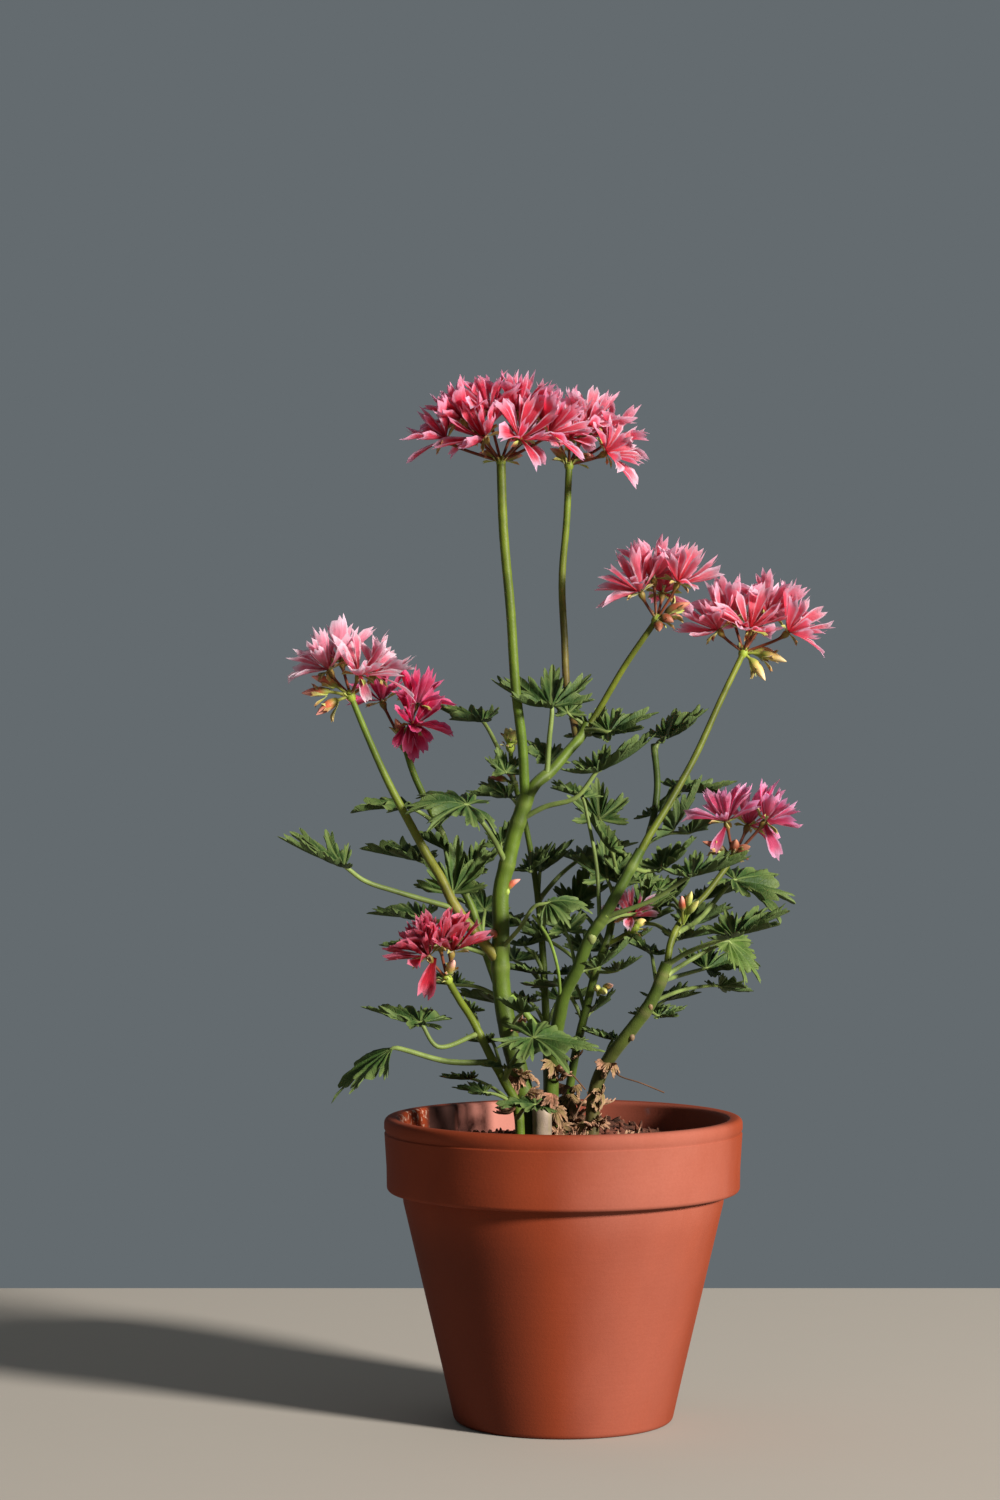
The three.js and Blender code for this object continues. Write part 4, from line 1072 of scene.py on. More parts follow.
def shape_collection(name, meshes):
    """A collection of shapes for a tree to set; clear_collection removes it after use."""
    collection = bpy.data.collections.new(name)
    bpy.context.scene.collection.children.link(collection)
    for place, mesh in enumerate(meshes):
        shape = bpy.data.objects.new(f"{name}_{place:02d}", mesh)
        collection.objects.link(shape)
    return collection


def clear_collection(collection):
    for shape in list(collection.objects):
        bpy.data.objects.remove(shape)
    bpy.data.collections.remove(collection)


class GERANIUM_OT_soil(bpy.types.Operator):
    """Fill the pot with soil and strew crumbs on it"""

    bl_idname = "geranium.soil"
    bl_label = "Make Soil"

    def execute(self, context):
        soil = context.scene.geranium_soil
        body, surface = soil_meshes(soil, context.scene.geranium_pot)
        keep_top_faces(surface, soil.level)
        smooth_shade(body, 60)
        material = earth(soil)
        body.materials.append(material)
        ride(new_object("soil_bed", body), "soil", "soil")
        draw = Draw(SEED + 1)
        shapes = [lump("crumb", draw, (1, draw.between(0.6, 1), draw.between(0.5, 0.9)), 0.16)
                  for _ in range(5)]
        shapes += [lump("bark", draw, (2.2, 0.7, 0.45), 0.12), lump("chip", draw, (1.5, 1.1, 0.4), 0.14)]
        collection = shape_collection("crumb", shapes)
        crumbs = grow(new_object("soil_crumbs", surface), crumb_tree(), {
            "Shapes": collection, "Distance": soil.crumb_distance, "Size": soil.crumb_size,
            "Density": CRUMBS_PER_AREA, "Seed": 5, "Material": material})
        clear_collection(collection)
        ride(crumbs, "soil", "soil")
        return {"FINISHED"}


# ---- Small leaves and dead leaves -------------------------------------------------------------------
SMALL_LOBES = 5
LOWEST_STALK = 116      # mm, just above the soil: no small leaf's stalk starts lower
STALK_RISE = 12         # mm that such a stalk climbs where its shoot allows it
FALLEN = 36             # small dead leaves that are drawn, besides those that are placed
FALLEN_HEIGHTS = (114, 150)     # mm, between which they hang


def sprout(node, foot, size, heading, pitch, roll, curl):
    """A small leaf on a stalk from the nearest lower place on its shoot that is above the soil."""
    foot = Vector(foot)
    stems = [smooth_path([Vector(p) for p in stem.path], 2)[0] for stem in STEMS[node]]
    lower = [place for stem in stems for place in stem if LOWEST_STALK < place.z < foot.z - 4]
    start = min(lower, key=lambda place: (place + Vector((0, 0, STALK_RISE)) - foot).length)
    middle = start.lerp(foot, 0.5) + Vector((0, 0, 2))
    return Leaf([start, middle, foot], size, heading, pitch, roll, SMALL_LOBES, curl)


def fallen(draw):
    """Each shoot's dead leaves: the placed ones, and small drawn ones round the feet of four stems."""
    rows = {node: list(DEAD_LEAVES.get(node, [])) for node in STEMS}
    for number in range(FALLEN):
        node = ("stem_right", "stem_inner", "stem_outer", "stem_main")[number % 4]
        stem, _ = smooth_path([Vector(p) for p in STEMS[node][0].path], 2)
        low = [place for place in stem if FALLEN_HEIGHTS[0] < place.z < FALLEN_HEIGHTS[1]]
        foot = low[int(draw.between(0, len(low) - 0.01))]
        heading = draw.between(190, 350)
        side = Vector((math.cos(math.radians(heading)), math.sin(math.radians(heading)), 0))
        rows[node].append((foot + side * draw.between(2, 4), draw.between(5.5, 10), heading,
                           draw.between(-75, 0), draw.between(-50, 50), draw.between(-90, 90)))
    return {node: [Leaf([foot], size, heading, pitch, roll, SMALL_LOBES, curl, fan=0.7)
                   for foot, size, heading, pitch, roll, curl in mine] for node, mine in rows.items()}


# ---- Stems and leaf stalks --------------------------------------------------------------------------
THIN_STALK_SIDES = 8    # faces round a leaf's or a flower's stalk
JOINT_REACH = 0.006     # what leaves a stem farther off than this leaves another one
SWELLING_LENGTH = 0.0026        # of a stem at a joint, to either side
PALE_LENGTH = 0.0014    # of the pale ring there
YOUNG_BUD_SIZE = 0.72   # of a head's bud


def attachments(node):
    """Where side branches and leaf stalks leave the stems of one shoot."""
    places = [leaf.stalk[0] for leaf in LEAVES[node]] + [stem.path[0] for stem in STEMS[node]]
    return [to_metres(place) for place in places]


def stem_line(lines, stem, joints, shoot):
    """Adds a tapering stem, swollen and pale where something leaves it."""
    points, length = smooth_path([to_metres(p) for p in stem.path], shoot.stem_step)
    start, end = stem.foot_radius * MM, stem.tip_radius * MM
    foot, tip, scar = BARKS[stem.bark]
    girths = []
    colours = []
    near = [min(range(len(points)), key=lambda i: (points[i] - joint).length) for joint in joints]
    rings = [length[i] for i, joint in zip(near, joints)
             if (points[i] - joint).length < JOINT_REACH and 2 < i < len(points) - 3]
    for place in length:
        share = place / length[-1]
        girth = start + (end - start) * share
        gap = min([abs(place - ring) for ring in rings], default=1)
        swelling = math.exp(-(gap / SWELLING_LENGTH) ** 2)
        girths.append(girth * (1 + shoot.joint_swelling * swelling))
        paleness = 0.3 * math.exp(-(gap / PALE_LENGTH) ** 2)
        colours.append(mixed(mixed(foot, tip, smoothly(share)), scar, paleness))
    if stem.bark == "cut":
        girths[-1] *= 0.9
    lines.add(points, girths, colours)


def petiole_line(lines, leaf, shoot):
    """Adds a leaf's stalk, thick at its foot, with its end just inside the blade."""
    stalk = [to_metres(p) for p in leaf.stalk]
    stalk.append(stalk[-1] + leaf_frame(leaf)[0] * 1.5 * MM)
    points, length = smooth_path(stalk, shoot.stem_step * 1.3)
    radius = (0.5 + leaf.size * 0.02) * MM
    low, high, joint = PETIOLE_COLOURS
    girths = []
    colours = []
    for place in length:
        share = place / length[-1]
        foot = 0.45 * math.exp(-(place / 0.0018) ** 2)
        girths.append(radius * (1.12 - 0.3 * share + foot) * (1 - 0.35 * smoothly((share - 0.93) / 0.07)))
        colours.append(mixed(mixed(low, high, share), joint, math.exp(-(place / 0.002) ** 2)))
    lines.add(points, girths, colours)


def leaf_frame(leaf):
    """A leaf's heading and its upper side's direction."""
    heading, pitch, roll = (math.radians(angle) for angle in (leaf.heading, leaf.pitch, leaf.roll))
    flat = Vector((math.cos(heading), math.sin(heading), 0))
    forward = flat * math.cos(pitch) + Vector((0, 0, math.sin(pitch)))
    upward = flat * -math.sin(pitch) + Vector((0, 0, math.cos(pitch)))
    return forward, Matrix.Rotation(roll, 3, forward) @ upward


class GERANIUM_OT_stems(bpy.types.Operator):
    """Sweep the stems and leaf stalks of every shoot"""

    bl_idname = "geranium.stems"
    bl_label = "Make Stems"

    def execute(self, context):
        shoot = context.scene.geranium_shoot
        tree = sweep_tree()
        material = stalk_skin()
        draw = Draw(SEED + 4)
        for node in STEMS:
            stems = Lines()
            for stem in STEMS[node]:
                stem_line(stems, stem, attachments(node), shoot)
            petioles = Lines()
            for leaf in LEAVES[node] + [sprout(node, *row) for row in SMALL_LEAVES[node]]:
                petiole_line(petioles, leaf, shoot)
            for kind, radius, stalk in BARE_STALKS.get(node, []):
                points, _ = smooth_path([to_metres(p) for p in stalk], shoot.stem_step)
                petioles.add(points, [radius * MM] * len(points), [BARE_COLOURS[kind]] * len(points))
            for place, radius, kind in SCARS.get(node, []):
                knob_line(petioles, to_metres(place), Vector((0, 0, 1)), radius * MM, SCAR_COLOURS[kind])
            for foot, tip, kind in YOUNG_BUDS.get(node, []):
                bud_line(petioles, to_metres(foot), to_metres(tip), kind, draw, YOUNG_BUD_SIZE)
            self.sweep(stems, f"{node}_stems", node, tree, material,
                       sides=shoot.stem_sides, unevenness=0.12)
            self.sweep(petioles, f"{node}_petioles", node, tree, material,
                       sides=THIN_STALK_SIDES, unevenness=0.16)
        return {"FINISHED"}

    def sweep(self, lines, name, node, tree, material, *, sides, unevenness):
        piece = grow(lines.to_object(name), tree, {
            "Sides": sides, "Unevenness": unevenness, "Material": material})
        smooth_shade(piece.data, 60)
        ride(piece, "shoot", node)


# ---- Thin blades ------------------------------------------------------------------------------------
class Blades:
    """Thin closed sheets gathered into one mesh, with a map and marks for the material."""

    def __init__(self, map_name, marks):
        self.map_name = map_name
        self.vertices = []
        self.faces = []
        self.corners = []
        self.marks = {name: [] for name in marks}
        self.under = []

    def add(self, top, bottom, on_rim, faces, corner_map, marks):
        """Adds a sheet: its upper and lower points, which of them are the shared rim, its faces as
        seen from above, each face's corners on the map, and a value per point for each mark."""
        start = len(self.vertices)
        self.vertices += [tuple(p) for p in top]
        twin = np.arange(len(top))
        inner = np.flatnonzero(~on_rim)
        twin[inner] = len(top) + np.arange(len(inner))
        self.vertices += [tuple(bottom[i]) for i in inner]
        for face, corners in zip(faces, corner_map):
            self.faces.append([start + i for i in face])
            self.corners += corners
            self.under.append(0.0)
            self.faces.append([start + int(twin[i]) for i in reversed(face)])
            self.corners += list(reversed(corners))
            self.under.append(1.0)
        for name, values in marks.items():
            self.marks[name] += list(values) + [values[i] for i in inner]

    def to_mesh(self, name):
        mesh = bpy.data.meshes.new(name)
        mesh.from_pydata(self.vertices, [], self.faces)
        layer = mesh.uv_layers.new(name=self.map_name)
        layer.data.foreach_set("uv", np.array(self.corners, float).ravel())
        for mark, values in self.marks.items():
            write_marks(mesh, mark, "FLOAT", values)
        write_marks(mesh, "under", "FLOAT", self.under, domain="FACE")
        smooth_shade(mesh)
        return mesh


LEAF_SPREAD = {5: 220, 7: 262}   # degrees from the first lobe's middle to the last one's
LEAF_NOTCH = 16                  # degrees beyond them
LARGE_BLADE = 20                 # mm: the rims of longer blades are cut finer
# A lobe's rim: places across it, in half widths, and how far out they are, in lengths of the lobe
TEETH = [(-1, 0), (-0.6, 0.72), (-0.46, 0.63), (-0.36, 0.9), (-0.2, 0.8), (0, 1.0),
         (0.2, 0.81), (0.36, 0.91), (0.46, 0.62), (0.6, 0.71), (1, 0)]
LOBE_FOLD = 0.55                 # slope of a lobe's two halves, up from its vein
BLADE_MAP = 0.05                 # length of blade that the map shows as one
BLADE_RISE = math.radians(4)     # slope of a blade where it leaves its stalk
VEIN_DISTANCE = 0.0053           # between the ridges of the quilted blade
BLADE_ROWS = (0.1, 0.2, 0.31, 0.42, 0.53, 0.64, 0.74, 0.83, 0.91, 0.965, 1.0)


def leaf_lobes(leaf, draw):
    """Each lobe's angle, length and curl, drawn as they are for the leaf's solid."""
    half = math.radians(LEAF_SPREAD[leaf.lobes]) / 2 * leaf.fan
    lobes = []
    for index in range(leaf.lobes):
        side = 2 * index / (leaf.lobes - 1) - 1
        length = leaf.size * MM * (1 - 0.34 * abs(side) ** 1.4) * draw.between(0.92, 1.05)
        bend = math.radians(leaf.curl + draw.between(-18, 18))
        lobes.append((side * half, length, bend / length))
    return lobes


def blade_outline(lobes, leaf, draw):
    """The rim as (angle, distance, lobe) from one side of the stalk round to the other."""
    half_gap = (lobes[1][0] - lobes[0][0]) / 2
    notch = leaf.fan * math.radians(LEAF_NOTCH)
    foot = leaf.size * MM * leaf.sinus
    steps = 4 if leaf.size > LARGE_BLADE else 2
    outline = []
    for number, (middle, length, _) in enumerate(lobes):
        jitter = [draw.between(-0.05, 0.05) for _ in TEETH]
        slide = [draw.between(-0.05, 0.05) for _ in TEETH]
        stops = []
        for place, (turn, reach) in enumerate(TEETH):
            inside = 0 < place < len(TEETH) - 1
            outer = (number == 0 and turn < 0) or (number == len(lobes) - 1 and turn > 0)
            shift = slide[place] if inside and turn != 0 else 0
            distance = length * (max(reach, leaf.sinus + 0.1) + jitter[place]) if inside else foot
            stops.append((middle + (turn + shift) * (notch if outer else half_gap), distance))
        for (angle, near), (next_angle, far) in zip(stops, stops[1:]):
            count = steps if abs(far - near) > 0.12 * length else max(2, steps - 1)
            for step in range(count):
                share = step / count
                quarter = share * math.pi / 2
                ease = math.sin(quarter) ** 0.85 if far > near else 1 - math.cos(quarter) ** 0.85
                outline.append((angle + (next_angle - angle) * share, near + (far - near) * ease, number))
    outline.append((lobes[-1][0] + notch, foot, len(lobes) - 1))
    return outline


def blade_points(lobes, angles, distances, offset, phase, fold_share):
    """Places on the folded, curled and quilted blade, in its own frame: heading +X, upper side +Z."""
    middles = np.array([lobe[0] for lobe in lobes])
    curls = np.interp(angles, middles, [lobe[2] for lobe in lobes])
    curls = np.where(np.abs(curls) < 0.1, 0.1, curls)
    owner = np.abs(angles[:, None] - middles[None, :]).argmin(axis=1)
    across = np.abs(distances * np.sin(angles - middles[owner]))
    along = distances * np.cos(angles - middles[owner])
    fold = fold_share * LOBE_FOLD * np.maximum(across - 0.0005, 0) * np.clip(distances / 0.005, 0, 1)
    off_vein = np.clip(across / 0.003, 0, 1)
    quilt = 0.00022 * np.cos((along - 1.25 * across) / VEIN_DISTANCE * 2 * math.pi) * off_vein
    ruffle = 0.0009 * np.sin(angles * 23 + phase) * off_vein
    lift = offset + fold + quilt + ruffle
    slope = BLADE_RISE + curls * distances
    reach = (np.sin(slope) - math.sin(BLADE_RISE)) / curls - lift * np.sin(slope)
    height = (math.cos(BLADE_RISE) - np.cos(slope)) / curls + lift * np.cos(slope)
    return np.stack([reach * np.cos(angles), reach * np.sin(angles), height], axis=1)


def add_leaf(blades, leaf, solid_draw, draw, thickness):
    """Builds one leaf blade and puts it at the end of its stalk."""
    lobes = leaf_lobes(leaf, solid_draw)
    outline = blade_outline(lobes, leaf, draw)
    columns = len(outline)
    rows = len(BLADE_ROWS)
    rim_angles = np.array([item[0] for item in outline])
    rim_reach = np.array([item[1] for item in outline])
    shares = np.array([0.0] + [share for share in BLADE_ROWS for _ in range(columns)])
    angles = np.concatenate([[0.0], np.tile(rim_angles, rows)])
    distances = shares * np.concatenate([[0.0], np.tile(rim_reach, rows)])
    column = np.concatenate([[0], np.tile(np.arange(columns), rows)])
    on_rim = (shares > 0.999) | (column == 0) | (column == columns - 1)
    phase = draw.between(0, 6.28)
    forward, upward = leaf_frame(leaf)
    side = upward.cross(forward).normalized()
    axes = np.array([forward, side, forward.cross(side)])
    foot = np.array(to_metres(leaf.stalk[-1]))
    top = blade_points(lobes, angles, distances, thickness / 2, phase, leaf.fold) @ axes + foot
    bottom = blade_points(lobes, angles, distances, -thickness / 2, phase, leaf.fold) @ axes + foot
    top[on_rim] = (top[on_rim] + bottom[on_rim]) / 2
    faces, corner_map = blade_faces(lobes, outline, angles, distances)
    drawn_tone = draw.between(0, 0.35)
    tone = drawn_tone if leaf.young is None else leaf.young
    blades.add(top, bottom, on_rim, faces, corner_map, {
        "rim": shares.tolist(), "young": [tone] * len(shares)})


def blade_faces(lobes, outline, angles, distances):
    """The blade's faces seen from above, and the map, which runs along and across each lobe."""
    columns = len(outline)
    faces = []
    corner_map = []
    for here in range(columns - 1):
        middle = lobes[outline[here][2]][0]
        strip = [[0, 1 + here, 2 + here]]
        for row in range(len(BLADE_ROWS) - 1):
            low = 1 + row * columns + here
            strip.append([low, low + columns, low + columns + 1, low + 1])
        for face in strip:
            faces.append(face)
            corner_map.append([
                (distances[i] * math.cos(angles[i] - middle) / BLADE_MAP,
                 distances[i] * math.sin(angles[i] - middle) / BLADE_MAP) for i in face])
    return faces, corner_map


class GERANIUM_OT_leaves(bpy.types.Operator):
    """Shape the leaf blades of every shoot"""

    bl_idname = "geranium.leaves"
    bl_label = "Make Leaves"

    def execute(self, context):
        shoot = context.scene.geranium_shoot
        material = leaf_skin(shoot)
        dry = dry_skin()
        solid_draw = Draw(SEED)
        draw = Draw(SEED + 2)
        dead_leaves = fallen(Draw(SEED + 5))
        for node in STEMS:
            blades = Blades("blade", ("rim", "young"))
            for leaf in LEAVES[node]:
                add_leaf(blades, leaf, solid_draw, draw, shoot.blade_thickness)
            for row in SMALL_LEAVES[node]:
                add_leaf(blades, sprout(node, *row), draw, draw, shoot.blade_thickness)
            self.finish(blades, f"{node}_leaves", node, material)
            dead = Blades("blade", ("rim", "young"))
            for leaf in dead_leaves[node]:
                add_leaf(dead, leaf, draw, draw, shoot.blade_thickness)
            if dead.faces:
                self.finish(dead, f"{node}_dead_leaves", node, dry)
        return {"FINISHED"}

    def finish(self, blades, name, node, material):
        mesh = blades.to_mesh(name)
        mesh.materials.append(material)
        ride(new_object(name, mesh), "shoot", node)


# ---- Flowers ----------------------------------------------------------------------------------------
PETAL_ROWS = (0.0, 0.2, 0.42, 0.64)
PETAL_LENGTH = 0.017    # a petal's usual length, by which its thickness is scaled
OUTER_SHAPES = (0, 10)  # which of the petals' shapes serve the outer ring, and which the inner
INNER_SHAPES = (10, 18)
SEPAL_SHAPES = (0, 4)
PETAL_GROWTH = 1.18     # a petal's length over that of its solid
SOLID_DRAWS = 15        # draws that the solid of a floret takes for its petals


def petal_width(share, width, claw):
    """Half the petal's width: a narrow claw, widest past the middle, drawn in a little at the teeth."""
    return width * float(np.interp(share, (0, 0.2, 0.42, 0.64, 0.8, 1), (claw, 0.4, 0.74, 0.97, 0.96, 0.7)))


def add_petal(blades, draw, width, claw, teeth, curl, cup, twist, thickness, cut=0.2):
    """Adds one petal of unit length along +X: narrow at its root, fringed with teeth at its tip."""
    rows = []
    for share in PETAL_ROWS:
        half = petal_width(share, width, claw)
        rows.append([(share, half * (2 * i / teeth - 1)) for i in range(teeth + 1)])
    foot = 1 - cut
    half = petal_width(foot, width, claw)
    fringe = []
    for i in range(2 * teeth + 1):
        depth = draw.between(-0.04, 0.03) if 0 < i < 2 * teeth else -0.06
        fringe.append((foot + depth, half * (i / teeth - 1)))
    tips = []
    for i in range(teeth):
        centre = (2 * i + 1) / teeth - 1
        reach = 0.99 - 0.08 * abs(centre) + draw.between(-0.07, 0.06)
        tips.append((reach, half * centre * 1.1 + draw.between(-0.03, 0.03)))
    flat = [p for row in rows for p in row] + fringe + tips
    wide = teeth + 1
    count = len(rows) * wide
    on_rim = np.array([i < wide or i % wide in (0, teeth) for i in range(count)]
                      + [i % 2 == 0 for i in range(2 * teeth + 1)] + [True] * teeth)
    top = bend_petal(flat, width, curl, cup, twist, thickness / 2)
    bottom = bend_petal(flat, width, curl, cup, twist, -thickness / 2)
    top[on_rim] = (top[on_rim] + bottom[on_rim]) / 2
    faces = petal_faces(len(rows), teeth)
    spread = [(along, across / petal_width(min(along, foot + 0.01), width, claw)) for along, across in flat]
    corner_map = [[spread[i] for i in face] for face in faces]
    stray = np.array([0.0] * (count + len(fringe)) + [draw.between(-0.05, 0.07) for _ in tips])
    top[:, 2] += stray
    bottom[:, 2] += stray
    blades.add(top, bottom, on_rim, faces, corner_map, {})


def bend_petal(flat, width, curl, cup, twist, offset):
    """Curls a petal along its length, cups it across and twists its end."""
    share = np.array([p[0] for p in flat])
    across = np.array([p[1] for p in flat])
    lift = offset + cup * across ** 2 / width + 0.02 * np.sin(across * 40) * share ** 3
    bend = curl if abs(curl) > 0.05 else 0.05
    slope = bend * share
    reach = np.sin(slope) / bend - lift * np.sin(slope)
    height = (1 - np.cos(slope)) / bend + lift * np.cos(slope)
    turn = twist * share ** 2
    axis_height = (1 - np.cos(slope)) / bend
    high = height - axis_height
    return np.stack([reach, across * np.cos(turn) - high * np.sin(turn),
                     axis_height + across * np.sin(turn) + high * np.cos(turn)], axis=1)


def petal_faces(rows, teeth):
    """The petal's faces seen from above: squares up to the last row, then triangles to the teeth."""
    wide = teeth + 1
    faces = []
    for row in range(rows - 1):
        for i in range(teeth):
            low = row * wide + i
            faces.append([low, low + wide, low + wide + 1, low + 1])
    last = (rows - 1) * wide
    fringe = rows * wide
    tips = fringe + 2 * teeth + 1
    for i in range(teeth):
        left, middle, right = fringe + 2 * i, fringe + 2 * i + 1, fringe + 2 * i + 2
        faces += [[last + i, left, middle], [last + i, middle, last + i + 1], [last + i + 1, middle, right]]
        faces += [[left, tips + i, middle], [middle, tips + i, right]]
    return faces


def petal_shapes(draw, thickness):
    """Variants of the petal: the first ones for the outer ring, the last ones for the inner."""
    shapes = []
    for number in range(INNER_SHAPES[1]):
        inner = number >= INNER_SHAPES[0]
        blades = Blades("petal", ())
        add_petal(blades, draw, width=draw.between(0.09, 0.145) if inner else draw.between(0.16, 0.22),
                  claw=0.22, teeth=2 if inner else 3, curl=draw.between(-0.5, 0.6),
                  cup=draw.between(0.3, 1.1), twist=draw.between(-0.5, 0.5),
                  thickness=thickness / PETAL_LENGTH,
                  cut=draw.between(0.16, 0.28) if inner else draw.between(0.1, 0.19))
        shapes.append(blades.to_mesh("petal"))
    return shapes


def sepal_shapes(draw):
    """Variants of the sepal: narrow, boat-shaped and bent back, drawn as petals with two teeth."""
    shapes = []
    for _ in range(SEPAL_SHAPES[1]):
        blades = Blades("petal", ())
        add_petal(blades, draw, width=0.13, claw=0.6, teeth=2, curl=draw.between(-0.9, -0.1), cup=1.2,
                  twist=draw.between(-0.2, 0.2), thickness=0.04)
        shapes.append(blades.to_mesh("sepal"))
    return shapes


class Points:
    """Points with a turn, a size and a shape number, on which the tree sets shapes."""

    def __init__(self):
        self.places = []
        self.turns = []
        self.sizes = []
        self.shapes = []
        self.fresh = []

    def add(self, place, heading, upper, size, shape, fresh):
        side = upper.cross(heading).normalized()
        turn = Matrix((heading, side, heading.cross(side))).transposed().to_euler()
        self.places.append(tuple(place))
        self.turns.append(tuple(turn))
        self.sizes.append(size)
        self.shapes.append(shape)
        self.fresh.append(fresh)

    def to_object(self, name):
        mesh = bpy.data.meshes.new(name)
        mesh.from_pydata(self.places, [], [])
        write_marks(mesh, "turn", "FLOAT_VECTOR", self.turns, field="vector")
        write_marks(mesh, "size", "FLOAT", self.sizes)
        write_marks(mesh, "shape", "INT", self.shapes)
        write_marks(mesh, "fresh", "FLOAT", self.fresh)
        return new_object(name, mesh)


def ring(points, centre, forward, facing, draw, *, count, rise, size, shapes, phase=0, root=0.0009,
         jitter=0.2):
    """Sets a ring of petals or sepals, which rise by degrees, with their roots round a middle."""
    side = facing.cross(forward)
    for index in range(count):
        angle = phase + 2 * math.pi * (index + draw.between(-jitter, jitter)) / count
        outward = forward * math.cos(angle) + side * math.sin(angle)
        lean = math.radians(rise + draw.between(-10, 10) + 15 * min(0, outward.z))
        heading = outward * math.cos(lean) + facing * math.sin(lean)
        upper = facing * math.cos(lean) - outward * math.sin(lean)
        upper = Matrix.Rotation(draw.between(-0.25, 0.25), 3, heading) @ upper
        shape = int(draw.between(shapes[0], shapes[1] - 0.001))
        points.add(centre + outward * root, heading, upper, size * draw.between(0.86, 1.06), shape,
                   draw.between(0, 1))


def hang_petal(points, root, tip, draw):
    """Sets one limp petal from its root to its tip, with its upper side to the plant's front."""
    heading = tip - root
    upper = Vector((0, -1, 0.2)).cross(heading).cross(heading).normalized() * -1
    shape = int(draw.between(OUTER_SHAPES[0], OUTER_SHAPES[1] - 0.001))
    points.add(root, heading.normalized(), upper, heading.length, shape, draw.between(0, 1))


def floret_frame(offset, head, draw):
    """The way a floret faces, tipped over at the front of its head, and a direction in its plane."""
    tip = head.tip * smoothly(-offset[1] / 8)
    facing = (Vector(offset).normalized() + Vector((0, 0, head.lift + tip))).normalized()
    turn = draw.between(0, 2 * math.pi)
    forward = facing.cross(Vector((math.cos(turn), math.sin(turn), 0))).normalized()
    return facing, forward


def pedicel_line(lines, start, centre, facing, flowers):
    """Adds a floret's stalk with its swollen calyx."""
    middle = centre - facing * 4.5 * MM
    points, length = smooth_path([start, middle, centre + facing * 0.3 * MM], 0.0009)
    girths = []
    colours = []
    red, green = PEDICEL_COLOURS
    for place in length:
        left = length[-1] - place
        calyx = math.exp(-((left - 0.0022) / 0.0019) ** 2)
        girths.append(flowers.pedicel_radius * (1 + 1.5 * calyx))
        colours.append(mixed(mixed(green, red, smoothly(place / 0.004)), green, calyx))
    lines.add(points, girths, colours)


def bud_line(lines, start, tip, kind, draw, share_of_size=1):
    """Adds a bud on its short stalk, a pointed body, and gives its foot and length."""
    middle = start.lerp(tip, 0.5) + Vector((0, 0, 1.2 * MM))
    points, length = smooth_path([start, middle, tip], 0.0006)
    girths = []
    colours = []
    green, flush, pink = BUD_COLOURS[kind]
    girth = draw.between(1.35, 1.75) * MM * share_of_size
    body = min(0.0115 * share_of_size, length[-1] * 0.78)
    for place in length:
        share = (place - (length[-1] - body)) / body
        bulge = math.sin(math.pi * min(1, max(0, share)) ** 0.8) ** 0.8 if share > 0 else 0
        girths.append(0.00055 * (1 - max(0, share)) + 0.00012 + girth * bulge)
        upper = mixed(flush, pink, smoothly((share - 0.5) / 0.4))
        colours.append(mixed(green, upper, smoothly((share - 0.1) / 0.4)))
    lines.add(points, girths, colours)
    return tip + (start - tip).normalized() * body * 0.94, body


def knob_line(lines, at, direction, radius, colour):
    """Adds a knob: a flower stem's swollen end or a leaf scar."""
    steps = 9
    points = [at + direction * (-1.38 + 2.57 * i / (steps - 1)) * radius for i in range(steps)]
    girths = [radius * math.sin(math.pi * (0.08 + 0.84 * i / (steps - 1))) ** 0.7 for i in range(steps)]
    lines.add(points, girths, [colour] * steps)


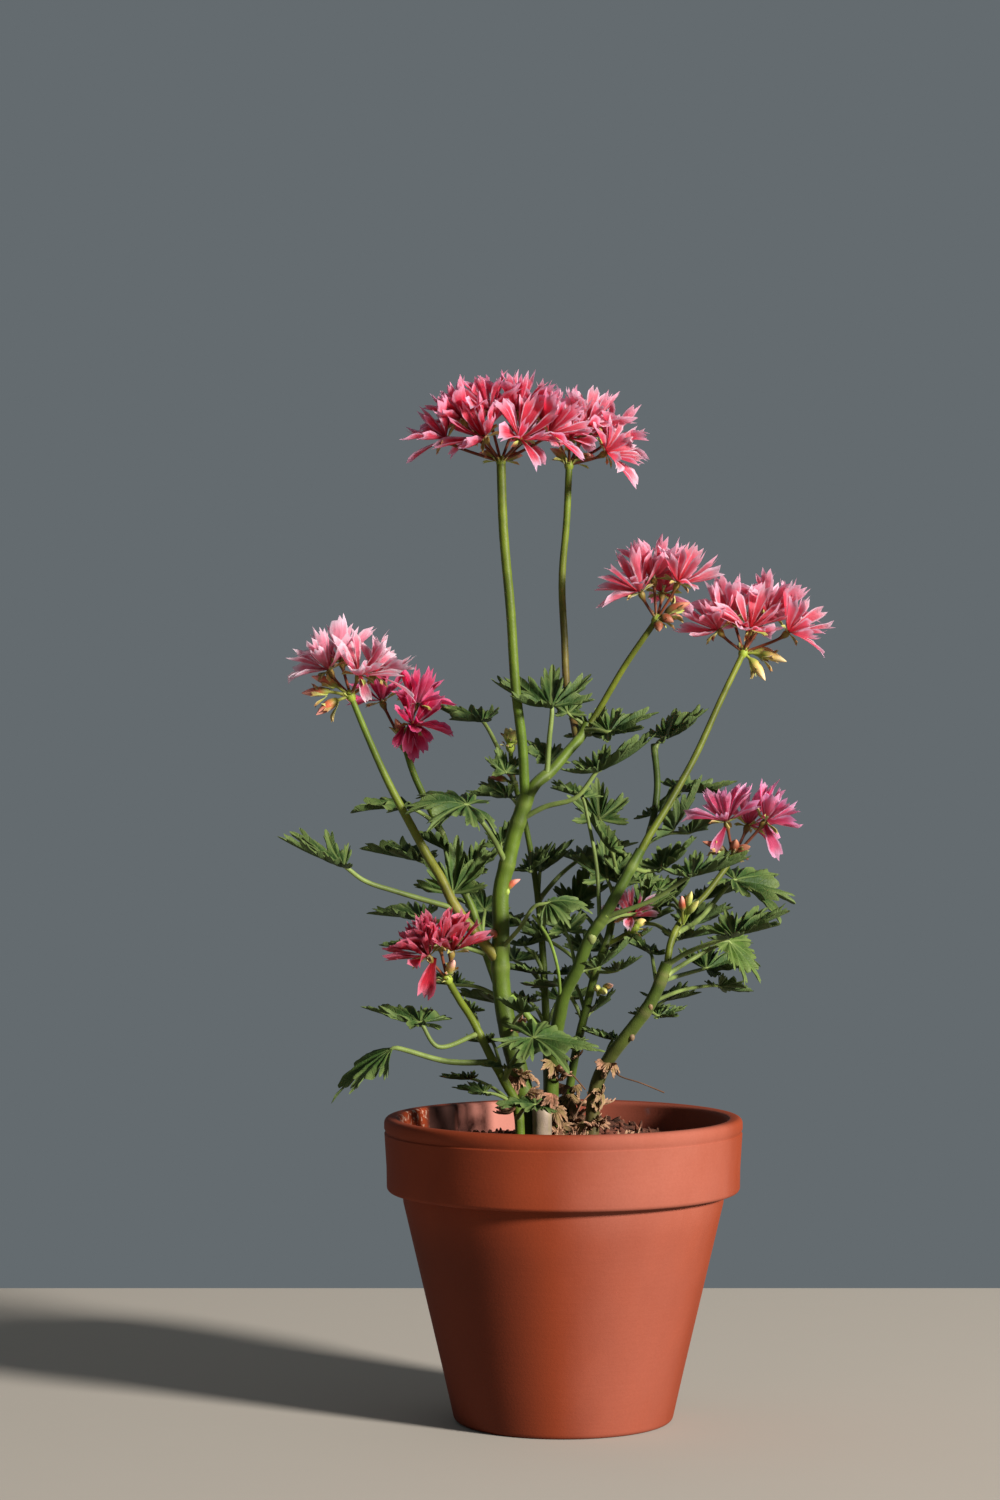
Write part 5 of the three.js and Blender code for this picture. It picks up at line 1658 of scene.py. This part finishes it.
class GERANIUM_OT_heads(bpy.types.Operator):
    """Build every flower head: stalks, buds, sepals and petals"""

    bl_idname = "geranium.heads"
    bl_label = "Make Flower Heads"

    def execute(self, context):
        flowers = context.scene.geranium_flower
        draw = Draw(SEED + 3)
        solid_draw = Draw(SEED)
        for leaves in LEAVES.values():
            for leaf in leaves:
                leaf_lobes(leaf, solid_draw)
        trees = sweep_tree(), scatter_tree()
        stalk = stalk_skin()
        sepal = sepal_skin()
        petals = {name: petal_skin(name, colours) for name, colours in PETAL_COLOURS.items()}
        petal_set = shape_collection("petal", petal_shapes(draw, flowers.petal_thickness))
        sepal_set = shape_collection("sepal", sepal_shapes(draw))
        for node, head in HEADS.items():
            stalks, petal_points, sepal_points = self.lay_out(head, node, flowers, draw, solid_draw)
            piece = grow(stalks.to_object(f"{node}_stalks"), trees[0], {
                "Sides": THIN_STALK_SIDES, "Unevenness": 0.2, "Material": stalk})
            smooth_shade(piece.data, 60)
            ride(piece, "flower", node)
            ride(grow(sepal_points.to_object(f"{node}_sepals"), trees[1], {
                "Shapes": sepal_set, "Material": sepal}), "flower", node)
            if petal_points.places:
                ride(grow(petal_points.to_object(f"{node}_petals"), trees[1], {
                    "Shapes": petal_set, "Material": petals[head.colour]}), "flower", node)
        clear_collection(petal_set)
        clear_collection(sepal_set)
        return {"FINISHED"}

    def lay_out(self, head, node, flowers, draw, solid_draw):
        """One head's stalks as lines, and its petals and sepals as points."""
        stalks, petals, sepals = Lines(), Points(), Points()
        at = to_metres(head.at)
        stem = next(stem for stems in STEMS.values() for stem in stems if stem.head == node)
        last, before = to_metres(stem.path[-1]), to_metres(stem.path[-2])
        direction = (last - before).normalized()
        knob_line(stalks, at, direction, 2.1 * MM, paint("849434"))
        across = direction.orthogonal().normalized()
        ring(sepals, at, across, direction, draw, count=9, rise=50, size=0.0034, shapes=SEPAL_SHAPES,
             root=0.0019)
        size = head.petal * PETAL_GROWTH * MM
        for offset in head.florets:
            facing, forward = floret_frame(offset, head, solid_draw)
            for _ in range(SOLID_DRAWS):
                solid_draw.between(0, 1)
            centre = at + to_metres(offset)
            pedicel_line(stalks, at, centre, facing, flowers)
            calyx = centre - facing * 0.0008
            ring(sepals, calyx, forward, facing, draw, count=5, rise=12, size=0.0075,
                 shapes=SEPAL_SHAPES, phase=0.3)
            ring(petals, centre, forward, facing, draw, count=flowers.outer_petals, rise=25, size=size,
                 shapes=OUTER_SHAPES)
            ring(petals, centre, forward, facing, draw, count=flowers.inner_petals, rise=56,
                 size=size * 0.96, shapes=INNER_SHAPES, phase=0.6, jitter=0.35)
        for root, tip in head.hanging:
            hang_petal(petals, at + to_metres(root), at + to_metres(tip), draw)
        for offset in head.buds:
            tip = at + to_metres(offset)
            foot, body = bud_line(stalks, at, tip, head.bud, draw)
            direction = (tip - foot).normalized()
            across = direction.orthogonal().normalized()
            ring(sepals, foot, across, direction, draw, count=4, rise=72, size=body * 0.72,
                 shapes=SEPAL_SHAPES, phase=0.5, root=0.0007)
        return stalks, petals, sepals


# ---- Stage ------------------------------------------------------------------------------------------
MIDDLE = Vector((0, 0, 0.2))    # of the plant, which the lamps are turned to


def add_lamp(name, place, size, power, colour):
    """A round soft lamp that looks at the plant's middle."""
    lamp = bpy.data.lights.new(name, "AREA")
    lamp.shape = "DISK"
    lamp.size = size
    lamp.energy = power
    lamp.color = colour
    holder = bpy.data.objects.new(name, lamp)
    holder.location = place
    holder.rotation_euler = (MIDDLE - Vector(place)).to_track_quat("-Z", "Y").to_euler()
    bpy.context.scene.collection.objects.link(holder)


class GERANIUM_OT_stage(bpy.types.Operator):
    """Set up the floor, the lights and the camera"""

    bl_idname = "geranium.stage"
    bl_label = "Make Stage"

    def execute(self, context):
        stage = context.scene.geranium_stage
        self.make_floor(stage)
        self.make_lights(stage)
        camera = bpy.data.objects.new("camera", bpy.data.cameras.new("camera"))
        camera.data.sensor_fit = "VERTICAL"
        camera.data.sensor_height = 36
        camera.data.lens = stage.lens
        camera.location = (stage.camera_side, -stage.camera_distance, stage.camera_height)
        camera.rotation_euler = (math.radians(90), 0, 0)
        context.scene.collection.objects.link(camera)
        context.scene.camera = camera
        context.scene.view_settings.view_transform = "Standard"
        return {"FINISHED"}

    def make_floor(self, stage):
        """A plain pale slab that ends a little way behind the pot."""
        left, front, right, back = -1.6, -2.2, 1.6, 0.36
        corners = [(left, front), (right, front), (right, back), (left, back)]
        vertices = [(x, y, z) for z in (0, -0.02) for x, y in corners]
        faces = [(0, 1, 2, 3), (7, 6, 5, 4)] + [(i + 4, (i + 1) % 4 + 4, (i + 1) % 4, i) for i in range(4)]
        mesh = bpy.data.meshes.new("floor")
        mesh.from_pydata(vertices, [], faces)
        skin = Skin("floor", 0.9, specular=0.0)
        grain = skin.noise(skin.place(), 30, 4)
        skin.feed("Base Color", skin.blend(grain * 0.1, stage.floor, paint("aca69e")))
        mesh.materials.append(skin.material)
        new_object("floor", mesh)

    def make_lights(self, stage):
        """The key light from the front right, two faint ones, and even light from all round."""
        lamps = (  # name, place, size, share of the key light's power, and colour
            ("key", (3.78, -3.1, 1.96), 0.8, 1, (1.0, 0.95, 0.88)),
            ("fill", (-1.6, -1.4, 0.9), 1.6, 0.0005, (0.86, 0.92, 1.0)),
            ("top", (-0.3, 0.6, 2.0), 1.4, 0.0038, (1.0, 0.98, 0.95)),
        )
        for name, place, size, share, colour in lamps:
            add_lamp(name, place, size, stage.sun * share, colour)
        world = bpy.data.worlds.new("surroundings")
        world.use_nodes = True
        background = world.node_tree.nodes["Background"]
        background.inputs["Color"].default_value = (*stage.backdrop, 1.0)
        background.inputs["Strength"].default_value = 1.0
        bpy.context.scene.world = world


# ---- Panel and registration -------------------------------------------------------------------------
GROUPS = {
    "geranium_pot": PotSettings,
    "geranium_soil": SoilSettings,
    "geranium_shoot": ShootSettings,
    "geranium_flower": FlowerSettings,
    "geranium_stage": StageSettings,
}
OPERATORS = (
    GERANIUM_OT_pot, GERANIUM_OT_soil, GERANIUM_OT_stems, GERANIUM_OT_leaves, GERANIUM_OT_heads,
    GERANIUM_OT_stage,
)


class GERANIUM_PT_panel(bpy.types.Panel):
    """Lists the steps that build the plant, and their settings"""

    bl_label = "Potted Geranium"
    bl_idname = "GERANIUM_PT_panel"
    bl_space_type = "VIEW_3D"
    bl_region_type = "UI"
    bl_category = "Geranium"

    def draw(self, context):
        for operator in OPERATORS:
            self.layout.operator(operator.bl_idname)
        for group in GROUPS:
            box = self.layout.box()
            settings = getattr(context.scene, group)
            for name in settings.bl_rna.properties.keys():
                if name not in ("rna_type", "name"):
                    box.prop(settings, name)


def register():
    for group in (*GROUPS.values(), *OPERATORS, GERANIUM_PT_panel):
        bpy.utils.register_class(group)
    for name, group in GROUPS.items():
        setattr(bpy.types.Scene, name, PointerProperty(type=group))


def unregister():
    for name in GROUPS:
        delattr(bpy.types.Scene, name)
    for group in reversed((*GROUPS.values(), *OPERATORS, GERANIUM_PT_panel)):
        bpy.utils.unregister_class(group)


def main():
    register()
    bpy.ops.geranium.stage()
    bpy.ops.geranium.pot()
    bpy.ops.geranium.soil()
    bpy.ops.geranium.stems()
    bpy.ops.geranium.leaves()
    bpy.ops.geranium.heads()


if __name__ == "__main__":
    main()
